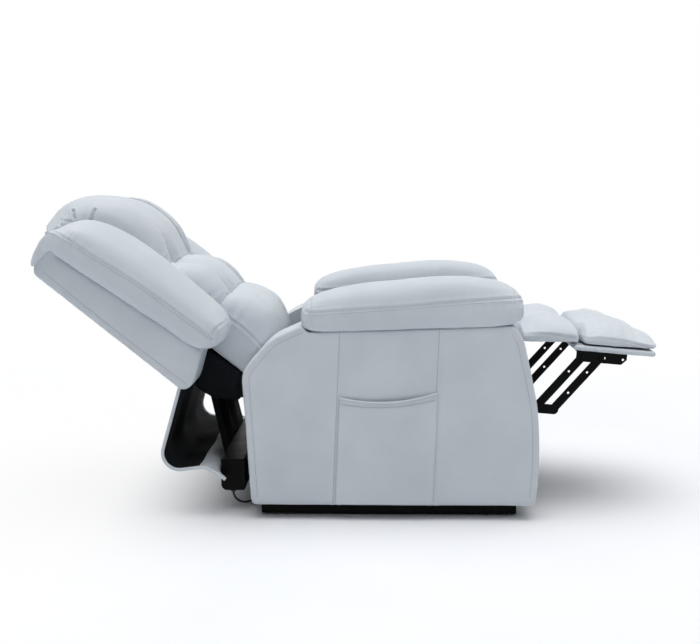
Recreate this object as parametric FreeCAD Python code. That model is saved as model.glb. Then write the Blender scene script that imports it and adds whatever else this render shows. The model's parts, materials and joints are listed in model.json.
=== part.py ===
"""Power lift recliner, modelled reclined with its footrest out and its lift down.

Millimetres. +X points forward (towards the feet), +Y to the occupant's left, +Z up, floor at z = 0.
Side pieces are drawn on the left (+Y) and mirrored to the right.
"""
import FreeCAD, Part
import math
import os

V = FreeCAD.Vector

# Widths, each from the centre plane
PLATE_INNER = 246.0
PLATE_T = 5.0
ARM_OUTER = 388.0
ARMREST_OUTER = 400.0
SIDE_GAP = 2.0
LINK_GAP = 1.5
CUT_OVER = 1.0
LINK_T = 5.0
BACK_CORE = 244.0
SHELL_HALF = 388.0
FOOT_HALF = 247.0

# Base
RAIL_REAR = -302.0
RAIL_FRONT = 378.0
RAIL_OUTER = 332.0
RAIL_W = 30.0
RAIL_H = 28.0
TUBE_WALL = 2.0
GLIDE_T = 4.0
GLIDE_L = 60.0
GLIDE_INSET = 20.0
BASE_FRONT_X = 195.0
BASE_FRONT_W = 50.0
BASE_REAR_X = -290.0
BASE_REAR_W = 40.0
BASE_REST_GAP = 0.3
GLIDE_MARGIN = 2.0

# Lift linkage: two arms and two struts carry the chair on the base
LIFT_PIVOT = (200.0, 75.0)
LIFT_ARM_L = 340.0
LIFT_ARM_RISE = 6.0
STRUT_PIVOT = (237.2, 50.6)
STRUT_END = (0.0, 60.0)
LIFT_TRAVEL = 58.0
LIFT_TILT = 28.0
LIFT_ARM_T = 8.0
LIFT_ARM_W = 36.0
STRUT_W = 30.0
PIN_R = 10.0
PIN_RUN = 0.05
STRUT_PIN_PLAY = 0.6
BRACKET_T = 8.0
TORQUE_TUBE_R = 15.0
TORQUE_BORE = 12.0
LUG = 8.0
BRACKET_R = 14.0

# Carriage
PLATE_TOP = 345.0
PLATE_FRONT_EDGE = 26.0
PLATE_REAR_EDGE = 22.0
PLATE_NECK = 40.0
PLATE_R = 20.0
WINDOWS = [(-110.0, 50.0), (140.0, 55.0)]
WINDOW_Z = (200.0, 300.0)
WINDOW_R = 16.0
CROSS_W = 30.0
CROSS_FRONT_X = 0.0
CROSS_REAR_X = -252.0
CROSS_Z = 150.0
REAR_RAIL_X = -414.0
REAR_RAIL_D = 64.0
REAR_RAIL_Z = 57.0
REAR_RAIL_H = 86.0
REAR_RAIL_HALF = 300.0
REAR_RAIL_R = 16.0
REAR_RAIL_WALL = 4.0
POWER_BOX = (76.0, 84.0, 40.0)
POWER_BOX_Y = -162.0
POWER_BOX_R = 5.0
POWER_BOX_CLEAR = 32.26

# Lead from the rear rail to the power box
LEAD_D = 6.0
LEAD_ROUTE = [
    (-386.0, -262.0, 44.7), (-385.0, -262.0, 36.0), (-379.0, -261.0, 24.5), (-368.0, -258.5, 15.5),
    (-353.0, -252.0, 11.5), (-338.0, -242.0, 13.0), (-326.0, -230.5, 20.5), (-317.0, -218.0, 33.0),
    (-310.5, -206.5, 48.5), (-305.0, -196.0, 66.0), (-300.0, -186.5, 83.0), (-293.5, -177.5, 98.5),
    (-284.0, -170.0, 110.5), (-272.5, -165.5, 117.0), (-262.0, -164.5, 118.6)]
LEAD_SEAT = 0.6
GLAND_R = 7.0

# Seat
SEAT_REAR = -116.0
SEAT_FRONT = 388.0
SEAT_RAIL_Z = 325.0
SEAT_RAIL_H = 45.0
SEAT_RAIL_T = 22.0
SEAT_RAIL_FRONT = 370.0
WEBBING_T = 2.0
WEBBING_W = 60.0
WEBBING_COUNT = 5
SEAT_EDGE_Z = 470.0
SEAT_CROWN_Z = 516.0
SEAT_SIDE_DROP = 34.0
SEAT_SHOULDER = 30.0
SEAT_SHOULDER_DROP = 6.0
SEAT_CLEAR = 1.0

# Arms
ARM_WALL = 14.0
ARM_BOARD_T = 18.0
ARM_EDGE_R = 9.0
ARM_BOTTOM = 38.0
ARM_SHAPE = [
    (-326.0, ARM_BOTTOM, 14.0), (-349.0, 392.0, 70.0), (-272.0, 481.0, 140.0), (-190.0, 518.0, 5.0),
    (-177.0, 499.0, 0.0), (363.0, 517.0, 5.0), (386.0, 480.0, 80.0), (427.0, 235.0, 1150.0),
    (411.0, ARM_BOTTOM, 14.0)]
POCKET_DEPTH = 8.0
POCKET_CLOTH = 3.0
POCKET_SEAM = 5.0
POCKET_SHAPE = [(-103.0, 44.0), (-91.0, 320.0), (36.0, 307.0), (164.0, 334.0), (153.0, 44.0)]
POCKET_R = 6.0
ARMREST_SEAT = 0.3
ARMREST_REAR = -189.0
ARMREST_FRONT = 378.0
ARMREST_CREST = [(-189.0, 594.0), (160.0, 637.0), (378.0, 613.0)]
ARMREST_INNER_GAP = 5.0
ARMREST_END_LIFT = 26.0
ARMREST_END_DRAW = 26.0
ARMREST_COUNT = 13
ARMREST_BLUNT = 10
ARMREST_END_RATIO = 0.995

# Footrest linkage
LEG_PIVOT = (270.0, 300.0)
LEG_TRAVEL = 84.0
FOOT_FRONT_PIN = (485.6, 270.7)
FOOT_PIN_STEP = 48.0
FOOT_TILT = 4.8
BAR_L = 188.0
BAR_ANGLE = 48.4
BAR_W = 22.0
LEG_ARM_W = 26.0
RIVET_R = 5.0
HOLE_R = 3.4
LEG_TUBE_R = 13.0
BOARD_T = 15.0
BOARD_REAR = (541.0, 448.0)
BOARD_L = 212.0
BOARD_EDGE_R = 6.0
BRACKET_END = 142.0
BRACKET_HOLES = (132.0, 82.0)
CALF_HINGE = (395.0, 450.0)
CALF_GAP = 1.5
CALF_L = 160.0
CALF_TOP = [(44.0, 0.0), (55.0, 60.0), (125.0, 50.0), (3.0, 28.0)]
PAD_SEAT = 0.5
PAD_SEAM = 4.0
PAD_REAR = 16.0
PAD_FRONT = 219.0
PAD_TOP = [(0.0, 24.0), (12.0, 54.0), (80.0, 64.0), (150.0, 43.0), (188.0, 26.0), (0.0, 10.0)]
FOOT_EDGE_FULL = 0.40
FOOT_EDGE_DRAW = 6.0
FOOT_SHOULDER = 28.0
FOOT_SHOULDER_FULL = 0.82
FLANGE_T = 3.0
FLANGE_W = 26.0
BRACKET_START = 6.0
BRACKET_CUT = 14.0

# Back, drawn along its rear face: s runs up the back, t out of its rear face towards the occupant
BACK_LOW = (-488.8, 351.5)
BACK_LEAN = 38.7
RECLINE_PIVOT = (-300.0, 320.0)
RECLINE_TRAVEL = 40.0
SHELL_TOP = 518.0
SHELL_WALL = 12.0
SHELL_FRONT_LOW = 113.0
SHELL_FRONT_HIGH = 70.0
STILE_W = 28.0
STILE_T = 58.0
STILE_LOW = -118.0
FRAME_TOP = 500.0
RAIL_T = 22.0
RAIL_W_BACK = 50.0
FRAME_SET = 6.0
FRAME_SIDE = 8.0
HINGE_W = 40.0
SPACER_R = 9.0
SPACER_RUN = 0.5
COVER_CLOTH = 2.0
CHANNEL_Y = 140.0
CHANNEL_DEPTH = 16.0
CUSHION_GAP = 4.0
WING_SEAT = 1.5
WING_GAP = 2.6
WING_STATIONS = [
    (6.0, 32.0, 174.0, 20.0), (16.0, 12.0, 194.0, 8.0), (42.0, 1.0, 208.0, 2.0), (100.0, 0.0, 216.0, 0.0),
    (200.0, 0.0, 220.0, 0.0), (300.0, 0.0, 218.0, 0.0), (390.0, 0.0, 208.0, 0.0), (455.0, 0.0, 187.0, 1.0),
    (500.0, 0.0, 156.0, 4.0), (524.0, 0.0, 122.0, 10.0), (534.0, 2.0, 96.0, 18.0)]
SHELL_SHAPE_R = (22.0, 14.0, 14.0, 10.0, 8.0)
SHELL_FOOT = 30.0
SHELL_SHOULDER = 498.0

# Cloth at the rear
CLOTH_T = 3.0
FLAP_HALF = 372.0
FLAP_FOLD = 7.0
FOLD_COUNT = 6
FLAP_PATH = [(-576.0, 122.0, 44.0), (-450.0, 138.0, 30.0), (4.0, 120.0, 8.0), 30.0]
CURTAIN_HALF = 232.0
CURTAIN_FOLD = 6.0
CURTAIN_TOP = (-60.0, -10.5)
CURTAIN_TILT = 0.5
CURTAIN_BEND = (-432.0, 232.0, 60.0)
GUSSET_HALF = 236.0
GUSSET_FOLD = 5.0
GUSSET_SAG = (-205.0, 376.0, 60.0)
CLOTH_TOUCH = 0.3
CLOTH_LEAN = 1.2
LUMBAR_LOW = -130.0

# Actuators
GEAR_X = -10.0
GEAR_L = 50.0
GEAR_HALF = 28.0
ROD_R = 9.0
TUBE_R = 17.0
MOTOR_R = 22.0
MOTOR_TOP = 332.0
CRANK_T = 6.0
CRANK_EDGE = 8.0
YOKE_PIN_R = 5.0
YOKE_PLAY = 0.35
FORK_T = 5.0
FORK_GAP = 0.6
FORK_EDGE = 6.0
FORK_NECK = 4.0
FORK_REACH = 30.0
MOUTH_GAP = 12.0
ROD_HOLD = 20.0
GEAR_R = 6.0
LIFT_LEVER = 110.0
RECLINE_LEVER = 115.0
LEG_LEVER = 70.0
RECLINE_Y = -120.0
LEG_Y = 120.0

# Places that follow from the sizes above
PLATE_OUTER = PLATE_INNER + PLATE_T
LEG_ARM_Y = PLATE_INNER - SIDE_GAP - LINK_T
BAR_Y = LEG_ARM_Y - LINK_GAP - LINK_T
STRUT_Y = BAR_Y - LINK_GAP - LINK_T
LIFT_ARM_Y = STRUT_Y - SIDE_GAP - LIFT_ARM_T
BRACKET_Y = LIFT_ARM_Y - SIDE_GAP - BRACKET_T
LIFT_END = (LIFT_PIVOT[0] - LIFT_ARM_L * math.cos(math.radians(LIFT_ARM_RISE)),
            LIFT_PIVOT[1] + LIFT_ARM_L * math.sin(math.radians(LIFT_ARM_RISE)))
BASE_TOP = GLIDE_T + RAIL_H
CUSHION_BOTTOM = SEAT_RAIL_Z + SEAT_RAIL_H + WEBBING_T
FOOT_REAR_PIN = (FOOT_FRONT_PIN[0] - FOOT_PIN_STEP * math.cos(math.radians(FOOT_TILT)),
                 FOOT_FRONT_PIN[1] + FOOT_PIN_STEP * math.sin(math.radians(FOOT_TILT)))
BAR_RISE = (BAR_L * math.cos(math.radians(BAR_ANGLE)), BAR_L * math.sin(math.radians(BAR_ANGLE)))


def mirrored(shape):
    """The right-hand twin of a left-hand shape."""
    return shape.mirror(V(0, 0, 0), V(0, 1, 0))


def rounded_edges(points, place):
    """Edges of a closed outline whose corners (a, b, radius) are rounded; place maps (a, b) to space."""
    count = len(points)
    starts, ends, mids = [], [], []
    for i in range(count):
        a, b = points[i][0], points[i][1]
        radius = points[i][2] if len(points[i]) > 2 else 0.0
        before, after = points[i - 1], points[(i + 1) % count]
        if radius == 0.0:
            starts.append((a, b))
            ends.append((a, b))
            mids.append(None)
            continue
        to_before = V(before[0] - a, before[1] - b, 0).normalize()
        to_after = V(after[0] - a, after[1] - b, 0).normalize()
        half = to_before.getAngle(to_after) / 2
        reach = radius / math.tan(half)
        middle = (to_before + to_after).normalize()
        depth = radius / math.sin(half) - radius
        starts.append((a + to_before.x * reach, b + to_before.y * reach))
        ends.append((a + to_after.x * reach, b + to_after.y * reach))
        mids.append((a + middle.x * depth, b + middle.y * depth))
    edges = []
    for i in range(count):
        if mids[i]:
            edges.append(Part.Arc(place(*starts[i]), place(*mids[i]), place(*ends[i])).toShape())
        start, end = place(*ends[i]), place(*starts[(i + 1) % count])
        if start.distanceToPoint(end) > 1e-6:
            edges.append(Part.LineSegment(start, end).toShape())
    return edges


def at_y(y):
    """Map of (x, z) outlines into the plane at this y."""
    return lambda x, z: V(x, y, z)


def plate(points, y0, y1):
    """A flat piece: an outline in X and Z, from y0 to y1."""
    face = Part.Face(Part.Wire(rounded_edges(points, at_y(y0))))
    return face.extrude(V(0, y1 - y0, 0))


def pin(x, z, radius, y0, y1):
    """A round bar across the chair."""
    return Part.makeCylinder(radius, y1 - y0, V(x, y0, z), V(0, 1, 0))


def box(x0, x1, y0, y1, z0, z1):
    """A block between two corners."""
    return Part.makeBox(x1 - x0, y1 - y0, z1 - z0, V(x0, y0, z0))


def square_tube(x0, x1, y0, y1, z0, z1, along):
    """A rectangular tube, open at both ends of the axis it runs along."""
    outer = box(x0, x1, y0, y1, z0, z1)
    wall = {"x": (0, TUBE_WALL, TUBE_WALL), "y": (TUBE_WALL, 0, TUBE_WALL)}[along]
    inner = box(x0 + wall[0], x1 - wall[0], y0 + wall[1], y1 - wall[1], z0 + wall[2], z1 - wall[2])
    return outer.cut(inner)


def bar(p, q, width, y0, y1):
    """A flat link with round ends from p to q."""
    half = width / 2
    dx, dz = q[0] - p[0], q[1] - p[1]
    length = math.hypot(dx, dz)
    ux, uz = dx / length, dz / length
    corners = [(p[0] - uz * half, p[1] + ux * half), (q[0] - uz * half, q[1] + ux * half),
               (q[0] + uz * half, q[1] - ux * half), (p[0] + uz * half, p[1] - ux * half)]
    body = plate(corners, y0, y1)
    return body.fuse([pin(p[0], p[1], half, y0, y1), pin(q[0], q[1], half, y0, y1)]).removeSplitter()


def on_back(s, t):
    """X and Z of a place on the back: s up the back, t forward of its rear face."""
    lean = math.radians(BACK_LEAN)
    return (BACK_LOW[0] - s * math.cos(lean) + t * math.sin(lean),
            BACK_LOW[1] + s * math.sin(lean) + t * math.cos(lean))


def on_foot(a, b):
    """X and Z of a place on the ottoman: a along its board, b above the board's top."""
    tilt = math.radians(FOOT_TILT)
    return (BOARD_REAR[0] + a * math.cos(tilt) + b * math.sin(tilt),
            BOARD_REAR[1] - a * math.sin(tilt) + b * math.cos(tilt))


def back_plate(points, y0, y1):
    """A flat piece whose outline is given up and out of the back."""
    return plate([on_back(p[0], p[1]) + tuple(p[2:]) for p in points], y0, y1)


def foot_plate(points, y0, y1):
    """A flat piece whose outline is given along and above the ottoman's board."""
    return plate([on_foot(p[0], p[1]) + tuple(p[2:]) for p in points], y0, y1)


def traced(start, moves, place):
    """A closed wire from start through moves: (end,) is a line and (middle, end) an arc."""
    edges = []
    here = place(*start)
    for move in moves + [(start,)]:
        there = place(*move[-1])
        if here.distanceToPoint(there) < 1e-6:
            continue
        if len(move) == 1:
            edges.append(Part.LineSegment(here, there).toShape())
        else:
            edges.append(Part.Arc(here, place(*move[0]), there).toShape())
        here = there
    return Part.Wire(edges)


def loft(wires):
    """A smooth closed solid through the wires."""
    return Part.makeLoft(wires, True, False)


def band(path, thickness):
    """Outline of a sheet of this thickness along path, whose corners are (a, b, radius)."""
    half = thickness / 2
    left, right = [], []
    for i in range(len(path)):
        a, b = path[i][0], path[i][1]
        radius = path[i][2] if len(path[i]) > 2 else 0.0
        ahead = V(path[i + 1][0] - a, path[i + 1][1] - b, 0).normalize() if i + 1 < len(path) else None
        behind = V(a - path[i - 1][0], b - path[i - 1][1], 0).normalize() if i > 0 else None
        first = behind or ahead
        last = ahead or behind
        middle = (V(-first.y, first.x, 0) + V(-last.y, last.x, 0)).normalize()
        reach = half / middle.dot(V(-first.y, first.x, 0))
        turn = first.x * last.y - first.y * last.x
        grow = half if turn < 0 else -half
        left.append((a + middle.x * reach, b + middle.y * reach, radius + grow if radius else 0.0))
        right.append((a - middle.x * reach, b - middle.y * reach, radius - grow if radius else 0.0))
    return left + right[::-1]


def turned_back(point, pivot, angle):
    """Where a point seen from the chair lies on a lever that has turned clockwise by angle."""
    dx, dz = point[0] - pivot[0], point[1] - pivot[1]
    c, s = math.cos(angle), math.sin(angle)
    return (pivot[0] + dx * c - dz * s, pivot[1] + dx * s + dz * c)


def yoke(pivot, lever, travel):
    """First place, last place of a rod's pin that sweeps a lever through travel degrees about pivot.

    The pin runs level, lever above the pivot, and lies evenly on both sides of it.
    """
    reach = abs(lever) * math.tan(math.radians(travel / 2))
    way = 1 if lever > 0 else -1
    return (pivot[0] - way * reach, pivot[1] + lever), (pivot[0] + way * reach, pivot[1] + lever)


def crank(pivot, lever, travel, y):
    """A lever plate whose curved slot is the rod pin's own path, seen from the turning lever."""
    first, last = yoke(pivot, lever, travel)
    steps = 8
    path = []
    for i in range(steps + 1):
        share = i / steps
        place = (first[0] + (last[0] - first[0]) * share, first[1])
        path.append(turned_back(place, pivot, math.radians(travel) * share))
    y0, y1 = y - CRANK_T / 2, y + CRANK_T / 2
    tip = max(path, key=lambda p: math.hypot(p[0] - pivot[0], p[1] - pivot[1]))
    root = min(path, key=lambda p: math.hypot(p[0] - pivot[0], p[1] - pivot[1]))
    slot_w = 2 * (YOKE_PIN_R + YOKE_PLAY)
    body = bar(pivot, tip, slot_w + 2 * CRANK_EDGE, y0, y1)
    for p in (root, path[steps // 4]):
        body = body.fuse(bar(pivot, p, slot_w + 2 * CRANK_EDGE, y0, y1))
    slot = None
    for p, q in zip(path, path[1:]):
        piece = bar(p, q, slot_w, y0 - CUT_OVER, y1 + CUT_OVER)
        slot = piece if slot is None else slot.fuse(piece)
    return body.removeSplitter().cut(slot)


def base():
    """Floor frame: rails, cross tubes, lift pivot brackets and glides."""
    nodes = {}
    inner = RAIL_OUTER - RAIL_W
    rail = square_tube(RAIL_REAR, RAIL_FRONT, inner, RAIL_OUTER, GLIDE_T, BASE_TOP, "x")
    nodes["base_rail_left"] = rail
    nodes["base_rail_right"] = mirrored(rail)
    for name, x, width in (("base_front_tube", BASE_FRONT_X, BASE_FRONT_W),
                           ("base_rear_tube", BASE_REAR_X, BASE_REAR_W)):
        nodes[name] = square_tube(x, x + width, -inner, inner, GLIDE_T, BASE_TOP, "y")
    rim = PIN_R + LUG
    x0, x1 = LIFT_PIVOT[0] - rim, STRUT_PIVOT[0] + rim
    outline = [(x0, BASE_TOP, 0.0), (x0, LIFT_PIVOT[1] + rim, BRACKET_R),
               (LIFT_PIVOT[0] + rim, LIFT_PIVOT[1] + rim, BRACKET_R),
               (x1, STRUT_PIVOT[1] + rim, BRACKET_R), (x1, BASE_TOP, 0.0)]
    y1 = BRACKET_Y + BRACKET_T
    bracket = plate(outline, BRACKET_Y, y1)
    bracket = bracket.fuse([
        pin(LIFT_PIVOT[0], LIFT_PIVOT[1], PIN_R - PIN_RUN, y1, LIFT_ARM_Y + LIFT_ARM_T + CUT_OVER),
        pin(STRUT_PIVOT[0], STRUT_PIVOT[1], PIN_R - PIN_RUN, y1, STRUT_Y + LINK_T + CUT_OVER)])
    nodes["base_brackets"] = Part.makeCompound([bracket, mirrored(bracket)])
    glides = []
    for x in (RAIL_REAR + GLIDE_INSET, RAIL_FRONT - GLIDE_INSET - GLIDE_L):
        glide = box(x, x + GLIDE_L, inner + GLIDE_MARGIN, RAIL_OUTER - GLIDE_MARGIN, 0, GLIDE_T)
        glides += [glide, mirrored(glide)]
    nodes["base_glides"] = Part.makeCompound(glides)
    return nodes


def lift_linkage():
    """Lift arms welded to their torque tube and crank, and the struts that set the tilt."""
    nodes = {}
    y0, y1 = LIFT_ARM_Y, LIFT_ARM_Y + LIFT_ARM_T
    arm = bar(LIFT_PIVOT, LIFT_END, LIFT_ARM_W, y0, y1)
    for x, z in (LIFT_PIVOT, LIFT_END):
        arm = arm.cut(pin(x, z, PIN_R, y0 - CUT_OVER, y1 + CUT_OVER))
    nodes["lift_arm_left"] = arm
    nodes["lift_arm_right"] = mirrored(arm)
    tube = pin(LIFT_END[0], LIFT_END[1], TORQUE_TUBE_R, -y0, y0)
    lever = crank(LIFT_END, LIFT_LEVER, LIFT_TRAVEL - LIFT_TILT, 0.0)
    nodes["lift_torque_tube"] = tube.fuse(lever).cut(pin(LIFT_END[0], LIFT_END[1], TORQUE_BORE, -y0, y0))
    y0, y1 = STRUT_Y, STRUT_Y + LINK_T
    strut = bar(STRUT_PIVOT, STRUT_END, STRUT_W, y0, y1)
    strut = strut.cut(pin(STRUT_PIVOT[0], STRUT_PIVOT[1], PIN_R, y0 - CUT_OVER, y1 + CUT_OVER))
    strut = strut.cut(pin(STRUT_END[0], STRUT_END[1], PIN_R + STRUT_PIN_PLAY, y0 - CUT_OVER, y1 + CUT_OVER))
    nodes["lift_struts"] = Part.makeCompound([strut, mirrored(strut)])
    return nodes


def carriage():
    """Mechanism plates with their pivot pins, cross tubes, rear rail, power box and lead gland."""
    nodes = {}
    low = BASE_TOP + BASE_REST_GAP
    rail_front = REAR_RAIL_X + REAR_RAIL_D
    front, rear = LEG_PIVOT[0] + PLATE_FRONT_EDGE, RECLINE_PIVOT[0] - PLATE_REAR_EDGE
    foot = BASE_REAR_X - LUG
    outline = [
        (foot, low, PLATE_R / 2), (BASE_FRONT_X + BASE_FRONT_W, low, PLATE_R),
        (front, LEG_PIVOT[1] - PLATE_NECK, PLATE_R), (front, PLATE_TOP, PLATE_R / 2),
        (rear, PLATE_TOP, PLATE_R), (rear, RECLINE_PIVOT[1] - PLATE_NECK, PLATE_R),
        (BASE_REAR_X + PLATE_R, REAR_RAIL_Z + REAR_RAIL_H + PLATE_R, PLATE_R),
        (rail_front, REAR_RAIL_Z + REAR_RAIL_H - PLATE_R / 2, 0.0), (rail_front, REAR_RAIL_Z + PLATE_R, 0.0),
        (foot, REAR_RAIL_Z + PLATE_R / 2, PLATE_R / 2)]
    side = plate(outline, PLATE_INNER, PLATE_OUTER)
    z0, z1 = WINDOW_Z
    for x, half in WINDOWS:
        window = [(x - half, z0, WINDOW_R), (x + half, z0, WINDOW_R),
                  (x + half, z1, WINDOW_R), (x - half, z1, WINDOW_R)]
        side = side.cut(plate(window, PLATE_INNER - CUT_OVER, PLATE_OUTER + CUT_OVER))
    side = side.fuse([
        pin(LIFT_END[0], LIFT_END[1], PIN_R - PIN_RUN, LIFT_ARM_Y, PLATE_INNER),
        pin(STRUT_END[0], STRUT_END[1], PIN_R - PIN_RUN, STRUT_Y - CUT_OVER, PLATE_INNER),
        pin(LEG_PIVOT[0], LEG_PIVOT[1], PIN_R - PIN_RUN, LEG_ARM_Y, PLATE_INNER),
        pin(RECLINE_PIVOT[0], RECLINE_PIVOT[1], PIN_R - PIN_RUN, LEG_ARM_Y, PLATE_INNER)])
    nodes["mech_plate_left"] = side
    nodes["mech_plate_right"] = mirrored(side)
    for name, x in (("cross_tube_front", CROSS_FRONT_X), ("cross_tube_rear", CROSS_REAR_X)):
        nodes[name] = square_tube(
            x, x + CROSS_W, -PLATE_INNER, PLATE_INNER, CROSS_Z, CROSS_Z + CROSS_W, "y")
    top = REAR_RAIL_Z + REAR_RAIL_H
    w = REAR_RAIL_WALL
    section = [(REAR_RAIL_X, REAR_RAIL_Z, REAR_RAIL_R), (rail_front, REAR_RAIL_Z, w),
               (rail_front, top, w), (REAR_RAIL_X, top, w)]
    rail = plate(section, -REAR_RAIL_HALF, REAR_RAIL_HALF)
    inset = [(REAR_RAIL_X + w, REAR_RAIL_Z + w, REAR_RAIL_R - w), (rail_front - w, REAR_RAIL_Z + w, 0.0),
             (rail_front - w, top - w, 0.0), (REAR_RAIL_X + w, top - w, 0.0)]
    nodes["rear_rail"] = rail.cut(plate(inset, -REAR_RAIL_HALF + w, REAR_RAIL_HALF - w))
    length, width, height = POWER_BOX
    x0 = LIFT_END[0] - TORQUE_TUBE_R - POWER_BOX_CLEAR - length
    block = box(x0, x0 + length, POWER_BOX_Y - width / 2, POWER_BOX_Y + width / 2, CROSS_Z - height, CROSS_Z)
    upright = [e for e in block.Edges if e.BoundBox.ZLength > height / 2]
    nodes["power_box"] = block.makeFillet(POWER_BOX_R, upright)
    x, y, z = LEAD_ROUTE[0]
    nodes["lead_gland"] = Part.makeCylinder(GLAND_R, REAR_RAIL_Z - z - LEAD_SEAT, V(x, y, z + LEAD_SEAT))
    return nodes


def lead():
    """The lead's free run: straight runs joined by the largest arcs that fit."""
    points = [V(*p) for p in LEAD_ROUTE]
    edges, radii, length = [], [], 0.0
    here = points[0]
    for before, point, after in zip(points, points[1:], points[2:]):
        to_before, to_after = (before - point), (after - point)
        reach = 0.45 * min(to_before.Length, to_after.Length)
        to_before.normalize()
        to_after.normalize()
        half = to_before.getAngle(to_after) / 2
        radius = reach * math.tan(half)
        radii.append(radius)
        start, end = point + to_before * reach, point + to_after * reach
        middle = point + (to_before + to_after).normalize() * (radius / math.sin(half) - radius)
        edges.append(Part.LineSegment(here, start).toShape())
        edges.append(Part.Arc(start, middle, end).toShape())
        here = end
    edges.append(Part.LineSegment(here, points[-1]).toShape())
    length = sum(e.Length for e in edges)
    wire = Part.Wire(edges)
    section = Part.Wire(Part.Circle(points[0], points[1] - points[0], LEAD_D / 2).toShape())
    tube = wire.makePipeShell([section], True, False)
    print("lead length %.1f, least radius %.1f, volume ratio %.4f" % (
        length, min(radii), tube.Volume / (math.pi * LEAD_D ** 2 / 4 * length)))
    return {"power_lead": tube}


def seat():
    """Seat box with its webbing and crowned cushion."""
    nodes = {}
    z0, z1 = SEAT_RAIL_Z, SEAT_RAIL_Z + SEAT_RAIL_H
    rear = SEAT_REAR + 4
    side = box(rear, SEAT_RAIL_FRONT, PLATE_INNER - SEAT_RAIL_T, PLATE_INNER, z0, z1)
    inner = PLATE_INNER - SEAT_RAIL_T
    cross = [box(x, x + SEAT_RAIL_T, -inner, inner, z0, z1) for x in (rear, SEAT_RAIL_FRONT - SEAT_RAIL_T)]
    nodes["seat_frame"] = Part.makeCompound([side, mirrored(side)] + cross)
    pitch = 2 * inner / WEBBING_COUNT
    straps = []
    for i in range(WEBBING_COUNT):
        y = -inner + pitch * (i + 0.5)
        straps.append(box(rear, SEAT_RAIL_FRONT, y - WEBBING_W / 2, y + WEBBING_W / 2, z1, z1 + WEBBING_T))
    nodes["seat_webbing"] = Part.makeCompound(straps)
    half = PLATE_INNER - SEAT_CLEAR
    wires = []
    shoulder = half - SEAT_SHOULDER
    for y, drop in ((-half, SEAT_SIDE_DROP), (-shoulder, SEAT_SHOULDER_DROP), (0.0, 0.0),
                    (shoulder, SEAT_SHOULDER_DROP), (half, SEAT_SIDE_DROP)):
        edge, crown = SEAT_EDGE_Z - drop / 2, SEAT_CROWN_Z - drop
        draw = drop / 5
        front, back = SEAT_FRONT - draw, SEAT_REAR + draw
        wires.append(traced((back + 8, CUSHION_BOTTOM), [
            ((back, (CUSHION_BOTTOM + edge) / 2), (back + 5, edge)),
            (((front + back) / 2, crown), (front - 18, edge + 22)),
            ((front - 7, edge - 20), (front - 14, CUSHION_BOTTOM))], at_y(y)))
    nodes["seat_cushion"] = loft(wires)
    return nodes


def parabola(points, x):
    """Height at x of the parabola through three (x, z) points."""
    total = 0.0
    for i in range(3):
        share = points[i][1]
        for j in range(3):
            if j != i:
                share *= (x - points[j][0]) / (points[i][0] - points[j][0])
        total += share
    return total


def arm_top(x):
    """Height of the arm's straight top, on which the armrest lies."""
    (x0, z0, _), (x1, z1, _) = ARM_SHAPE[4], ARM_SHAPE[5]
    return z0 + (z1 - z0) * (x - x0) / (x1 - x0)


def armrest_stations():
    """Places along an armrest, closer at its ends, with the share of its full section at each."""
    middle, half = (ARMREST_REAR + ARMREST_FRONT) / 2, (ARMREST_FRONT - ARMREST_REAR) / 2
    stations = []
    for i in range(ARMREST_COUNT):
        u = -ARMREST_END_RATIO * math.cos(math.pi * i / (ARMREST_COUNT - 1))
        stations.append((middle + half * u, math.sqrt(1 - u ** ARMREST_BLUNT)))
    return stations


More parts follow.
